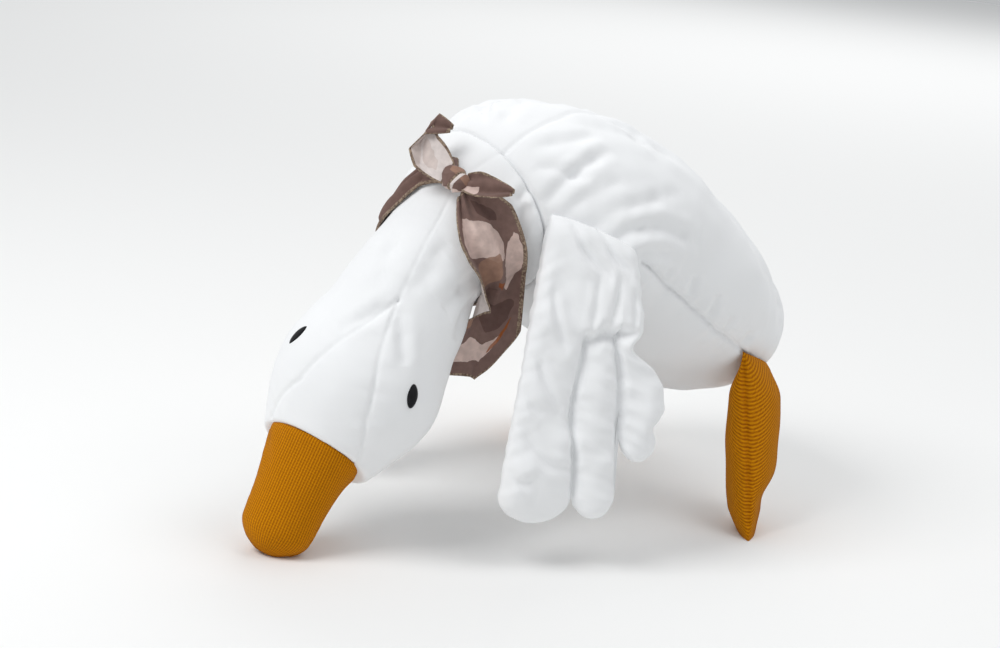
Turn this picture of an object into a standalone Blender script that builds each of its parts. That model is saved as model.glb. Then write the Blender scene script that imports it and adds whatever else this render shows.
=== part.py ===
"""Plush goose: sewn jersey panels over stuffing, arched over its beak and feet.

The goose faces -Y and its left side is +X. Everything is in metres and +Z is up. One line, the
spine, runs from tail to beak. Body, neck, head and beak are one soft form along it, and the
panels are cut out of that form at the seams.
"""

import math

import bmesh
import bpy
import numpy as np

MM = 0.001

# Fabric and seams
SKIN = 1.5 * MM            # jersey with its backing
KNIT = 1.5 * MM            # rib knit of beak and feet
WING_SKIN = 1.2 * MM
CLOTH = 2.4 * MM           # neckerchief, its folds pressed together
SEAM_GAP = 0.4 * MM        # between two panels
FILL_GAP = 0.8 * MM        # between a panel and the stuffing behind it
SEAT_GAP = 0.3 * MM        # between a sewn-on piece and what it sits on
COLLAR_FILL_GAP = 1.2 * MM  # the neck stuffing starts this far past the collar seam

# Body, neck, head and beak: widths across the goose
BODY_WIDTH = 176 * MM
COLLAR_WIDTH = 112 * MM
NECK_WIDTH = 72 * MM
HEAD_WIDTH = 95 * MM
BEAK_WIDTH = 55 * MM
BEAK_TIP_WIDTH = 37 * MM
BODY_DEPTH = 134 * MM      # from back to belly
NECK_DEPTH = 70 * MM
HEAD_DEPTH = 84 * MM
BEAK_DEPTH = 40 * MM

# Stops of the spine on the goose's middle plane, as (y, z)
TAIL = (355 * MM, 78 * MM)
RUMP = (284 * MM, 132 * MM)
BACK = (222 * MM, 167 * MM)
SHOULDER = (174 * MM, 184 * MM)
COLLAR = (144 * MM, 185 * MM)
NAPE = (113 * MM, 167 * MM)
CROWN = (82 * MM, 126 * MM)
BROW = (54 * MM, 86 * MM)
BEAK_ROOT = (24 * MM, 44 * MM)
BEAK_TIP = (1 * MM, 1 * MM)

# How steeply each cross-section faces up, in degrees, tail to beak: the bend at the collar is
# spread along the shoulders so that the throat does not fold
LEANS = (46.0, 36.0, 22.0, 6.0, -12.0, -33.0, -52.0, -57.0, -59.0, -60.0)

# The neck turns towards the goose's left before it reaches the head
COLLAR_TWIST = 24.0
NECK_TWIST = 32.0
HEAD_TWIST = 34.0

# Seams
TAIL_ROUNDING = 46 * MM
BEAK_ROUNDING = 15 * MM
TAIL_START = 0.04 * MM      # where the panels gather at the tail
TIP_STOP = 0.08 * MM        # and at the tip of the beak
COLLAR_STEP = 8 * MM       # the collar seam lies this far behind the collar stop
BEAK_SEAM_BOW = 7 * MM     # the beak seam bows up on the forehead
BELLY_SEAM = 6             # grid line of the seam between side and belly, counted from the back
GUSSET_ROOT_ANGLE = 84.0   # degrees from the crown to the gusset seam at the beak
GUSSET_LENGTH = 0.52       # share of the way from beak seam to collar seam
GUSSET_TIP_ANGLE = 4.0

# Eyes: flat embroidered ovals
EYE_LENGTH = 13.5 * MM
EYE_WIDTH = 7 * MM
EYE_HEIGHT = 0.9 * MM
EYE_ANGLE = 50.0           # degrees from the crown
EYE_PLACE = 0.70           # share of the way from collar seam to beak seam
EYE_CANT = 24.0            # degrees that each eye leans

# The right wing and foot lie a little farther out and back than the left
RIGHT_WING_SHIFT = (3 * MM, 10 * MM, 0.0)
RIGHT_FOOT_BACK = 19 * MM
RIGHT_FOOT_OUT = 2 * MM
FLOOR_PRESS = 1.6 * MM     # how far the soft beak gives where it rests
TOE_PRESS = 5 * MM         # and the toes

# Wings: flat, quilted, three feathers
WING_HALF = 7.5 * MM
WING_CHANNEL_HALF = 3.4 * MM
WING_LENGTH = 148 * MM
WING_ROOT_SLOPE = 20 * MM   # the front of the root sits higher than its back
WING_ROOT_FRONT = (-9 * MM, 83.0)   # behind the collar seam, and degrees down from the top
WING_ROOT_BACK = (27 * MM, 99.0)
WING_ROOT_WIDTH = 47 * MM
WING_FLARE = 8.0           # degrees that the wing stands off the body
WING_HANG = (93 * MM, 171 * MM, 173 * MM)   # rear top corner of the hanging part
WING_TURN = 30.0           # degrees that its face turns to the front
WING_SPREAD = 90 * MM      # width across the feathers
FEATHER_SPLITS = (0.50, 0.80)
FEATHER_REACH = (1.0, 0.97, 0.76)

# Feet: webbed, padded, hanging on their ankles
FOOT_ANKLE_WIDTH = 36 * MM
FOOT_TOE_WIDTH = 62 * MM
FOOT_HALF = 16 * MM
FOOT_TURN = 38.0           # degrees from straight back that the web runs outwards
FOOT_SEAM_ANGLE = 105.0    # degrees round from the back
FOOT_SEAM_CANT = 5.0       # the front of the seam lies this many degrees lower, its back higher
FOOT_SEAM_STEP = -38 * MM  # from the rump stop, towards the tail
FOOT_HEEL_RISE = 0.17      # share of its length that the rear toe sits higher
FOOT_WEB_NOTCH = 0.07
LEFT_FOOT_SPLAY = 0.19     # how far it swings out per length that it hangs
FOOT_SWING = 0.05          # and forwards
FOOT_DROP = 4 * MM         # slack cloth at the ankle
FOOT_SET = (-2 * MM, -15 * MM)  # it hangs outwards and back of its seam by this much

# Neckerchief
BAND_PLACE = 0.20          # share of the way from collar seam to beak seam
BAND_TILT = 13 * MM        # the band lies this much nearer the head on the right, the body on the left
BAND_WIDTH = 22 * MM       # under the throat
BAND_KNOT_WIDTH = 9 * MM   # where it runs into the knot
BAND_LIFT = 1.5 * MM
DRAPE_PLACE = 0.145        # the drape's edge on the side of the body, as for the band
DRAPE_WIDTH = 31 * MM
DRAPE_KNOT_WIDTH = 11 * MM
DRAPE_LIFT = 2.7 * MM      # it lies over the band
DRAPE_START = 7.0          # degrees round from the back where it leaves the knot
DRAPE_LEAVE = 88.0         # and where it leaves the neck and hangs
DRAPE_EDGE_LENGTH = 36 * MM
DRAPE_POINT_LENGTH = 59 * MM
DRAPE_POINT = 0.42         # share of its width at which its point hangs
DRAPE_SWING = 5 * MM       # the hanging part swings in under the neck
KNOT_WIDTH = 21 * MM
KNOT_HEIGHT = 15 * MM
KNOT_PLACE = 0.175         # share of the way from collar seam to beak seam
NEAR_END_LENGTH = 27 * MM
NEAR_END_RISE = -14 * MM   # towards the body
FAR_END_LENGTH = 25 * MM
FAR_END_RISE = -20 * MM
END_WIDTH = 19 * MM

# Grid of the main form
AROUND = 24
BODY_ROWS = 13
NECK_ROWS = 15
BEAK_ROWS = 6


def clear_scene():
    for obj in list(bpy.data.objects):
        bpy.data.objects.remove(obj)


def make_material(name, color, roughness):
    material = bpy.data.materials.new(name)
    material.use_nodes = True
    shader = material.node_tree.nodes["Principled BSDF"]
    shader.inputs["Base Color"].default_value = (*color, 1.0)
    shader.inputs["Roughness"].default_value = roughness
    shader.inputs["Metallic"].default_value = 0.0
    return material


def unit(vector):
    return vector / np.linalg.norm(vector, axis=-1, keepdims=True)


def smooth_curve(stops, values, where):
    """Values read from a smooth curve through the stops."""
    stops = np.asarray(stops, float)
    values = np.asarray(values, float)
    slopes = np.gradient(values, stops, axis=0)
    index = np.clip(np.searchsorted(stops, where) - 1, 0, len(stops) - 2)
    span = stops[index + 1] - stops[index]
    t = (where - stops[index]) / span
    if values.ndim > 1:
        span = span[..., None]
        t = t[..., None]
    t2 = t * t
    t3 = t2 * t
    return (
        (2 * t3 - 3 * t2 + 1) * values[index]
        + (t3 - 2 * t2 + t) * span * slopes[index]
        + (3 * t2 - 2 * t3) * values[index + 1]
        + (t3 - t2) * span * slopes[index + 1]
    )


class SoftForm:
    """The goose's outer surface, as point(s, a): s runs from tail to beak, a round from the back."""

    def __init__(self):
        stops = [TAIL, RUMP, BACK, SHOULDER, COLLAR, NAPE, CROWN, BROW, BEAK_ROOT, BEAK_TIP]
        self.line = np.array([(0.0, y, z) for y, z in stops])
        steps = np.linalg.norm(np.diff(self.line, axis=0), axis=1)
        self.stops = np.concatenate([[0.0], np.cumsum(steps)])
        self.length = self.stops[-1]
        self.collar = self.stops[4] - COLLAR_STEP
        self.beak = self.stops[8]
        self.half_width = 0.5 * np.array([
            0.82 * BODY_WIDTH, 1.03 * BODY_WIDTH, BODY_WIDTH, 0.93 * BODY_WIDTH, COLLAR_WIDTH,
            NECK_WIDTH, 0.82 * HEAD_WIDTH, HEAD_WIDTH, BEAK_WIDTH, BEAK_TIP_WIDTH,
        ])
        self.half_depth = 0.5 * np.array([
            0.66 * BODY_DEPTH, 0.92 * BODY_DEPTH, BODY_DEPTH, 0.88 * BODY_DEPTH,
            0.5 * (NECK_DEPTH + 0.86 * BODY_DEPTH), NECK_DEPTH, 0.88 * HEAD_DEPTH,
            HEAD_DEPTH, BEAK_DEPTH, 0.6 * BEAK_DEPTH,
        ])
        self.twist = np.radians([
            0.0, 0.0, 4.0, 0.55 * COLLAR_TWIST, COLLAR_TWIST,
            NECK_TWIST, HEAD_TWIST, HEAD_TWIST, HEAD_TWIST, HEAD_TWIST,
        ])

    def frame(self, s):
        """Centre, crown direction, left direction, half width and half depth at s."""
        centre = smooth_curve(self.stops, self.line, s)
        lean = np.radians(smooth_curve(self.stops, LEANS, s))
        left = np.zeros_like(centre)
        left[..., 0] = 1.0
        crown = np.zeros_like(centre)
        crown[..., 1] = np.sin(lean)
        crown[..., 2] = np.cos(lean)
        turn = self.turn(s)[..., None]
        turned_crown = np.cos(turn) * crown + np.sin(turn) * left
        turned_left = np.cos(turn) * left - np.sin(turn) * crown
        wide = smooth_curve(self.stops, self.half_width, s)
        deep = smooth_curve(self.stops, self.half_depth, s)
        tail_end = np.clip(1.0 - s / TAIL_ROUNDING, 0.0, 1.0)
        beak_end = np.clip(1.0 - (self.length - s) / BEAK_ROUNDING, 0.0, 1.0)
        closing = np.sqrt(np.maximum(1.0 - tail_end**2, 0.0) * np.maximum(1.0 - beak_end**2, 0.0))
        return centre, turned_crown, turned_left, wide * closing, deep * closing

    def turn(self, s):
        """How far the crown has turned to the left at s."""
        return smooth_curve(self.stops, self.twist, s)

    def point(self, s, a):
        s, a = np.broadcast_arrays(np.asarray(s, float), np.asarray(a, float))
        centre, crown, left, wide, deep = self.frame(s)
        return (
            centre
            + (np.cos(a) * deep)[..., None] * crown
            + (np.sin(a) * wide)[..., None] * left
        )

    def normal(self, s, a):
        s, a = np.broadcast_arrays(np.asarray(s, float), np.asarray(a, float))
        step = 0.4 * MM
        along = self.point(np.minimum(s + step, self.length - 0.01 * MM), a)
        along = along - self.point(np.maximum(s - step, 0.01 * MM), a)
        around = self.point(s, a + 0.01) - self.point(s, a - 0.01)
        return unit(np.cross(along, around))

    def layer(self, s, a, depth):
        """Points that lie depth under the surface."""
        return self.point(s, a) - depth * self.normal(s, a)

    def floor(self):
        """Height of the floor, where the soft tip of the beak gives a little."""
        s = np.linspace(self.beak, self.length - TIP_STOP, 60)[:, None]
        a = np.linspace(0.0, 2 * math.pi, 73)[None, :]
        return self.point(s, a)[..., 2].min() + FLOOR_PRESS

    def on_floor(self, points, above=0.0):
        """The same points, pressed flat where they would reach below this height above the floor."""
        points = np.array(points)
        points[..., 2] = np.maximum(points[..., 2], self.floor() + above)
        return points

    def step(self, s, a, width):
        """The step of s that covers this width on the surface, which is larger on a tight bend."""
        stretch = np.linalg.norm(self.point(s + MM, a) - self.point(s - MM, a), axis=-1) / (2 * MM)
        return width / np.maximum(stretch, 0.2)

    def half_gap(self, s, a):
        return self.step(s, a, 0.5 * SEAM_GAP)

    def seat(self, s, a, rim, face):
        """Middle line of a piece sewn on here, its edge rim thick each way along face."""
        normal = self.normal(s, a)
        tilt = np.abs(normal @ face)
        return self.point(s, a) + (rim * tilt + SEAT_GAP)[:, None] * normal

    def collar_at(self, a):
        return self.collar + 0.0 * a

    def beak_at(self, a):
        return self.beak - BEAK_SEAM_BOW * np.cos(a)

    def neck_level(self, share, a):
        """The place along the spine of a share of the way from collar seam to beak seam."""
        return self.collar_at(a) + share * (self.beak_at(a) - self.collar_at(a))


def link_mesh(name, points, faces, material, smooth=True):
    mesh = bpy.data.meshes.new(name)
    work = bmesh.new()
    verts = [work.verts.new(point) for point in points]
    for face in faces:
        work.faces.new([verts[i] for i in face])
    bmesh.ops.recalc_face_normals(work, faces=work.faces)
    work.to_mesh(mesh)
    work.free()
    if smooth:
        mesh.shade_smooth()
        mesh.set_sharp_from_angle(angle=math.radians(50))
    mesh.materials.append(material)
    obj = bpy.data.objects.new(name, mesh)
    bpy.context.scene.collection.objects.link(obj)
    return obj


def slab(name, top, bottom, material):
    """A closed solid between two grids of points of the same size."""
    rows, columns = top.shape[:2]
    count = rows * columns
    points = np.concatenate([top.reshape(-1, 3), bottom.reshape(-1, 3)])
    faces = []
    for i in range(rows - 1):
        for j in range(columns - 1):
            corner = i * columns + j
            quad = [corner, corner + 1, corner + columns + 1, corner + columns]
            faces.append(quad)
            faces.append([count + k for k in reversed(quad)])
    rim = [j for j in range(columns)]
    rim += [i * columns + columns - 1 for i in range(1, rows)]
    rim += [(rows - 1) * columns + j for j in range(columns - 2, -1, -1)]
    rim += [i * columns for i in range(rows - 2, 0, -1)]
    for here, after in zip(rim, rim[1:] + rim[:1]):
        faces.append([after, here, count + here, count + after])
    return link_mesh(name, points, faces, material)


def loft(name, rings, material):
    """A closed solid through rings of points, with a fan at each end."""
    count, around = rings.shape[:2]
    points = list(rings.reshape(-1, 3))
    faces = []
    for i in range(count - 1):
        for j in range(around):
            after = (j + 1) % around
            faces.append([
                i * around + j, i * around + after,
                (i + 1) * around + after, (i + 1) * around + j,
            ])
    for row in (0, count - 1):
        points.append(rings[row].mean(axis=0))
        hub = len(points) - 1
        for j in range(around):
            faces.append([hub, row * around + j, row * around + (j + 1) % around])
    return link_mesh(name, points, faces, material)


def eased(count, ease_start, ease_end):
    """Shares from 0 to 1, closer together towards an eased end."""
    t = np.linspace(0.0, 1.0, count)
    if ease_start:
        t = t**1.6
    if ease_end:
        t = 1.0 - (1.0 - t)**1.6
    return t


def panel(name, form, s_grid, a_grid, thickness, material):
    top = form.on_floor(form.layer(s_grid, a_grid, 0.0))
    bottom = form.on_floor(form.layer(s_grid, a_grid, thickness), thickness)
    return slab(name, top, bottom, material)


def trimmed(grid, first, last):
    """A row of angles whose ends step in by the seam gap's half, given as angles."""
    grid = np.array(grid, float)
    grid[..., 0] += first
    grid[..., -1] -= last
    return grid


def seam_angle(form, s):
    """Half the seam gap, as an angle round the form at s."""
    wide = form.frame(np.asarray(s, float))[3]
    return 0.5 * SEAM_GAP / np.maximum(wide, 2 * MM)


def angle_row(first, last):
    """Angles of the shared grid lines from first to last."""
    return 2 * math.pi / AROUND * np.arange(first, last + 1)


def body_panels(form, jersey):
    shares = eased(BODY_ROWS, True, False)
    ranges = {
        "body_left_panel": (0, BELLY_SEAM + 1),
        "belly_panel": (BELLY_SEAM + 1, AROUND - BELLY_SEAM - 1),
        "body_right_panel": (AROUND - BELLY_SEAM - 1, AROUND),
    }
    start = TAIL_START
    for name, (first, last) in ranges.items():
        a = np.tile(angle_row(first, last), (BODY_ROWS, 1))
        end = form.collar_at(a) - form.half_gap(form.collar_at(a), a)
        s = start + shares[:, None] * (end - start)
        gap = seam_angle(form, s[:, 0])
        panel(name, form, s, trimmed(a, gap, gap), SKIN, jersey)


def gusset_angle(share):
    """Angle from the crown to the gusset seam at a share of the way from collar to beak."""
    rise = np.clip((share - (1.0 - GUSSET_LENGTH)) / GUSSET_LENGTH, 0.0, 1.0)
    spread = GUSSET_TIP_ANGLE + (GUSSET_ROOT_ANGLE - GUSSET_TIP_ANGLE) * rise**0.85
    return np.radians(spread)


def neck_panels(form, jersey):
    gusset_start = round((1.0 - GUSSET_LENGTH) * (NECK_ROWS - 1))
    shares = np.linspace(0.0, 1.0, NECK_ROWS)
    half = AROUND // 2
    seam = np.where(np.arange(NECK_ROWS) < gusset_start, 0.0, gusset_angle(shares))
    spread = np.linspace(0.0, 1.0, half + 1)
    for side, name in ((1, "neck_left_panel"), (-1, "neck_right_panel")):
        a = seam[:, None] + spread[None, :] * (math.pi - seam[:, None])
        s = form.neck_level(shares[:, None], a)
        s[0] += form.half_gap(s[0], side * a[0])
        s[-1] -= form.half_gap(s[-1], side * a[-1])
        gap = seam_angle(form, s[:, 0])
        panel(name, form, s, side * trimmed(a, gap, gap), SKIN, jersey)
    rows = slice(gusset_start, NECK_ROWS)
    spread = np.linspace(-1.0, 1.0, 13)
    a = spread[None, :] * seam[rows, None]
    s = form.neck_level(shares[rows, None], a)
    s[0] += form.half_gap(s[0], a[0])
    s[-1] -= form.half_gap(s[-1], a[-1])
    gap = seam_angle(form, s[:, 0])
    panel("crown_gusset", form, s, trimmed(a, gap, gap), SKIN, jersey)


def beak_panels(form, knit):
    shares = eased(BEAK_ROWS, False, True)
    quarter = AROUND // 4
    for name, first, last in (("beak_upper_panel", -quarter, quarter),
                              ("beak_lower_panel", quarter, 3 * quarter)):
        a = np.tile(angle_row(first, last), (BEAK_ROWS, 1))
        start = form.beak_at(a) + form.half_gap(form.beak_at(a), a)
        end = form.length - TIP_STOP
        s = start + shares[:, None] * (end - start)
        gap = seam_angle(form, s[:, 0])
        panel(name, form, s, trimmed(a, gap, gap), KNIT, knit)


def stuffing(form, name, s_start, s_end, shares, depth, material):
    """A solid core that lies depth under the panels, between two places along the spine."""
    a = 4 * math.pi / AROUND * np.arange(AROUND // 2)
    s = s_start(a) + shares[:, None] * (s_end(a) - s_start(a))
    loft(name, form.on_floor(form.layer(s, a[None, :], depth), depth), material)


def make_stuffing(form, filling):
    stuffing(form, "body_filling", lambda a: TAIL_START + 0.0 * a,
             lambda a: form.collar_at(a) - form.step(form.collar_at(a), a, FILL_GAP),
             eased(BODY_ROWS, True, False), SKIN + FILL_GAP, filling)
    stuffing(form, "neck_filling",
             lambda a: form.collar_at(a) + COLLAR_FILL_GAP,
             lambda a: form.beak_at(a) - FILL_GAP,
             eased(NECK_ROWS, False, False), SKIN + FILL_GAP, filling)
    stuffing(form, "beak_filling", lambda a: form.beak_at(a) + FILL_GAP,
             lambda a: form.length - TIP_STOP + 0.0 * a,
             eased(BEAK_ROWS, False, True), KNIT + FILL_GAP, filling)


def make_eyes(form, thread):
    span = np.linspace(-1.0, 1.0, 7)
    across, along = np.meshgrid(span, span)
    disc_x = across * np.sqrt(1.0 - 0.5 * along**2)
    disc_y = along * np.sqrt(1.0 - 0.5 * across**2)
    level = form.neck_level(EYE_PLACE, math.radians(EYE_ANGLE))
    wide = form.frame(np.asarray(level))[3]
    cant = math.radians(EYE_CANT)
    for side, name in ((1, "left_eye"), (-1, "right_eye")):
        lengthwise = 0.5 * EYE_LENGTH * disc_y
        crosswise = 0.5 * EYE_WIDTH * disc_x
        s = level + lengthwise * math.cos(cant) - crosswise * math.sin(cant)
        round_way = crosswise * math.cos(cant) + lengthwise * math.sin(cant)
        a = side * (math.radians(EYE_ANGLE) + round_way / wide)
        dome = EYE_HEIGHT * (1.0 - 0.55 * (disc_x**2 + disc_y**2))
        top = form.point(s, a) + (SEAT_GAP + dome)[..., None] * form.normal(s, a)
        bottom = form.point(s, a) + SEAT_GAP * form.normal(s, a)
        slab(name, top, bottom, thread)


def mirrored(points, side):
    return points * np.array([side, 1.0, 1.0])


def feather_outline(across):
    """Reach and padding along the wing's width, one rounded lobe for each feather."""
    reach = np.zeros_like(across)
    pad = np.zeros_like(across)
    bounds = (0.0, *FEATHER_SPLITS, 1.0)
    for start, end, tip in zip(bounds[:-1], bounds[1:], FEATHER_REACH):
        inside = (across >= start - 1e-6) & (across <= end + 1e-6)
        swing = (2 * across - start - end) / (end - start)
        lobe = np.sqrt(np.clip(1.0 - 0.92 * swing**2, 0.0, 1.0))
        reach = np.where(inside, np.maximum(reach, tip - 0.12 * (1.0 - lobe)), reach)
        pad = np.where(inside, np.maximum(pad, lobe), pad)
    return reach, pad


def make_wings(form, jersey, filling):
    rows = 9
    columns = 16
    down = np.linspace(0.0, 1.0, rows)[:, None]
    across = np.linspace(0.0, 1.0, columns)[None, :]
    turn = math.radians(WING_TURN)
    flare = math.radians(WING_FLARE)
    up = np.array([0.0, 0.0, 1.0])
    back_way = np.array([math.sin(turn), math.cos(turn), 0.0])
    side_way = np.array([math.cos(turn), -math.sin(turn), 0.0])
    hang = math.sin(flare) * side_way - math.cos(flare) * up
    face = math.cos(flare) * side_way + math.sin(flare) * up
    reach, pad = feather_outline(across[0])
    widening = (WING_SPREAD - WING_ROOT_WIDTH) * down**0.75
    place = -WING_ROOT_WIDTH - 0.55 * widening + across * (WING_ROOT_WIDTH + widening)
    fall = WING_LENGTH * down * (1.0 + (reach - 1.0) * down**1.5)
    fall = fall - WING_ROOT_SLOPE * (1.0 - across) * (1.0 - down)
    ease = (1.0 - down)**2.5
    side_edge = np.sin(0.5 * math.pi * np.clip(np.minimum(across, 1.0 - across) / 0.12, 0.0, 1.0))
    tip_edge = np.sin(0.5 * math.pi * np.clip((1.0 - down) / 0.15, 0.0, 1.0))
    root_edge = np.sin(0.5 * math.pi * np.clip(down / 0.3, 0.0, 1.0))
    quilt = np.clip((down - 0.2) / 0.2, 0.0, 1.0) * (1.0 - pad)
    depth = WING_HALF - (WING_HALF - WING_CHANNEL_HALF) * quilt
    rim = WING_SKIN + 0.5 * SEAM_GAP
    half = rim + (depth - rim) * np.sqrt(side_edge * tip_edge) * root_edge
    hanging = np.array(WING_HANG) + place[..., None] * back_way + fall[..., None] * hang
    seam_s = form.collar - WING_ROOT_FRONT[0] + across[0] * (WING_ROOT_FRONT[0] - WING_ROOT_BACK[0])
    seam_a = WING_ROOT_FRONT[1] + across[0] * (WING_ROOT_BACK[1] - WING_ROOT_FRONT[1])
    split = 0.5 * SEAM_GAP
    for side, word, shift in ((1, "left", 0.0), (-1, "right", RIGHT_WING_SHIFT)):
        a = side * np.radians(seam_a) - form.turn(seam_s)
        seat = mirrored(form.seat(seam_s, a, rim, mirrored(face, side)), side)
        middle = hanging + np.array(shift)
        middle = middle + ease[..., None] * (seat - middle[0])
        for way, layer in ((1, "outer"), (-1, "inner")):
            top = middle + way * half[..., None] * face
            bottom = middle + way * np.maximum(half - WING_SKIN, split)[..., None] * face
            slab(f"{word}_wing_{layer}_panel", mirrored(top, side), mirrored(bottom, side), jersey)
        core = slice(1, rows - 1), slice(1, columns - 1)
        room = np.maximum(half[core] - WING_SKIN - FILL_GAP, 0.2 * MM)
        top = middle[core] + room[..., None] * face
        bottom = middle[core] - room[..., None] * face
        slab(f"{word}_wing_filling", mirrored(top, side), mirrored(bottom, side), filling)


def make_feet(form, knit, filling):
    rows = 9
    columns = 11
    down = eased(rows, False, True)[:, None]
    across = np.linspace(-1.0, 1.0, columns)[None, :]
    turn = math.radians(FOOT_TURN)
    web = np.array([math.sin(turn), -math.cos(turn), 0.0])
    face = np.array([math.cos(turn), math.sin(turn), 0.0])
    width = 0.5 * (FOOT_ANKLE_WIDTH + (FOOT_TOE_WIDTH - FOOT_ANKLE_WIDTH) * down)
    webbing = 1.0 - np.abs(np.cos(0.75 * math.pi * (across - 1.0)))
    toes = 1.0 - FOOT_HEEL_RISE * (1.0 - across) - FOOT_WEB_NOTCH * webbing
    share = down * (1.0 + (toes - 1.0) * down)
    edge = np.sqrt(np.clip(1.0 - across**2, 0.0, 1.0) * np.clip((1.0 - down) / 0.16, 0.0, 1.0))
    rim = KNIT + 0.5 * SEAM_GAP
    swell = FOOT_HALF * (0.78 + 0.22 * np.sin(math.pi * down))
    root_edge = np.sin(0.5 * math.pi * np.clip(down / 0.3, 0.0, 1.0))
    half = rim + (swell - rim) * edge * root_edge
    seam_a = np.radians(FOOT_SEAM_ANGLE + FOOT_SEAM_CANT * across[0])
    seam_s = form.stops[1] + FOOT_SEAM_STEP + 0.5 * FOOT_ANKLE_WIDTH * across[0]
    seam = form.point(form.stops[1] + FOOT_SEAM_STEP, math.radians(FOOT_SEAM_ANGLE))
    split = 0.5 * SEAM_GAP
    feet = ((1, "left", 0.0, 0.0, LEFT_FOOT_SPLAY), (-1, "right", RIGHT_FOOT_OUT, RIGHT_FOOT_BACK, 0.0))
    for side, word, out, back, splay in feet:
        lean = unit(np.array([splay, -FOOT_SWING, -1.0]))
        ankle = seam * np.array([side, 1.0, 1.0])
        ankle = ankle + np.array([side * FOOT_SET[0] - out, FOOT_SET[1] + back, 0.0])
        start = ankle + 0.5 * side * FOOT_HALF * face + FOOT_DROP * lean
        length = (start[2] - form.floor() + TOE_PRESS) / -lean[2]
        middle = start + (width * across)[..., None] * web + (length * share)[..., None] * lean
        seat = form.seat(seam_s, side * seam_a, rim, face)
        middle = middle + ((1.0 - down)**2.0)[..., None] * (seat - middle[0])
        for way, layer in ((side, "outer"), (-side, "inner")):
            top = middle + way * half[..., None] * face
            bottom = middle + way * np.maximum(half - KNIT, split)[..., None] * face
            top, bottom = form.on_floor(top), form.on_floor(bottom)
            slab(f"{word}_foot_{layer}_panel", top, bottom, knit)
        core = slice(1, rows - 1), slice(1, columns - 1)
        room = np.maximum(half[core] - KNIT - FILL_GAP, 0.2 * MM)
        top = middle[core] + room[..., None] * face
        bottom = middle[core] - room[..., None] * face
        slab(f"{word}_foot_filling", top, bottom, filling)


def thickened(name, middle, material):
    """A sheet of cloth, half its thickness to each side of a grid of points."""
    outward = unit(np.cross(np.gradient(middle, axis=0), np.gradient(middle, axis=1)))
    return slab(name, middle + 0.5 * CLOTH * outward, middle - 0.5 * CLOTH * outward, material)


def neck_band(form, cotton):
    """The folded cloth round the neck, from one side of the knot to the other."""
    a = np.radians(np.linspace(6.0, 354.0, 35))
    width = BAND_KNOT_WIDTH + (BAND_WIDTH - BAND_KNOT_WIDTH) * np.sin(0.5 * a)
    centre = form.neck_level(BAND_PLACE, math.pi / 2) - BAND_TILT * np.sin(a)
    share = np.linspace(-0.5, 0.5, 5)[:, None]
    s = centre + share * width
    crown = np.cos(math.pi * share)
    ripple = 0.8 * MM * (1.0 + np.sin(9 * a + 5 * share)) * crown
    lift = BAND_LIFT + 0.5 * CLOTH + MM * crown + ripple
    grid_a = np.broadcast_to(a, s.shape)
    return thickened("neckerchief", form.point(s, grid_a) + lift[..., None] * form.normal(s, grid_a),
                     cotton)


def drape(form, cotton):
    """The wide part that runs from the knot down the left side and hangs free to its point."""
    across = np.linspace(0.0, 1.0, 9)[None, :]
    on_neck = np.linspace(0.0, 1.0, 9)[:, None]
    a = np.radians(DRAPE_START + (DRAPE_LEAVE - DRAPE_START) * on_neck) + 0.0 * across
    spread = DRAPE_KNOT_WIDTH + (DRAPE_WIDTH - DRAPE_KNOT_WIDTH) * np.sin(np.minimum(2 * a, 0.5 * math.pi))
    s = form.neck_level(DRAPE_PLACE, math.pi / 2) + spread * across
    folds = 0.9 * MM * np.sin(3 * math.pi * across + 2 * a)
    resting = form.point(s, a) + (DRAPE_LIFT + 0.5 * CLOTH + folds)[..., None] * form.normal(s, a)
    to_point = np.where(across < DRAPE_POINT, across / DRAPE_POINT, (1 - across) / (1 - DRAPE_POINT))
    length = DRAPE_EDGE_LENGTH + (DRAPE_POINT_LENGTH - DRAPE_EDGE_LENGTH) * to_point
    down = np.linspace(0.0, 1.0, 7)[1:, None]
    aside = form.normal(s[-1], a[-1])
    aside[:, 2] = 0.0
    swing = (1.5 * MM * np.sin(2 * math.pi * across + 3 * down) * down - DRAPE_SWING * down**2)
    hanging = resting[-1][None, :, :] + swing[..., None] * aside
    hanging[..., 2] -= length * down
    return thickened("neckerchief_drape", np.concatenate([resting, hanging]), cotton)


def make_neckerchief(form, cotton):
    cloth = neck_band(form, cotton)
    knot_level = form.neck_level(KNOT_PLACE, 0.0)
    helpers = [drape(form, cotton), knot_form(form, knot_level, cotton)]
    helpers.append(cloth_end("neckerchief_far_end", form, knot_level, -FAR_END_LENGTH, FAR_END_RISE, cotton))
    helpers.append(cloth_end("neckerchief_near_end", form, knot_level, NEAR_END_LENGTH, NEAR_END_RISE, cotton))
    for helper in helpers:
        helper.hide_render = True
        helper.display_type = "WIRE"
        union = cloth.modifiers.new(helper.name, "BOOLEAN")
        union.operation = "UNION"
        union.object = helper
    return cloth


def knot_form(form, level, cotton):
    """The knot on the nape: a rounded block with a waist, its foot sunk in the band."""
    centre = form.point(level, 0.0) + (BAND_LIFT + 0.5 * KNOT_HEIGHT) * form.normal(level, 0.0)
    along = unit(form.point(level + MM, 0.0) - form.point(level - MM, 0.0))
    outward = form.normal(level, 0.0)
    sideways = np.cross(outward, along)
    a = 2 * math.pi / 14 * np.arange(14)
    rings = []
    for t in np.linspace(-0.94, 0.94, 7):
        swell = math.sqrt(1.0 - t * t) * (1.0 - 0.12 * math.cos(math.pi * t))
        rings.append(
            centre
            + 0.5 * KNOT_WIDTH * t * sideways
            + (0.5 * KNOT_HEIGHT * swell * np.cos(a))[:, None] * outward
            + (0.62 * KNOT_WIDTH * swell * np.sin(a))[:, None] * along
        )
    return loft("neckerchief_knot", np.array(rings), cotton)


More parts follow.
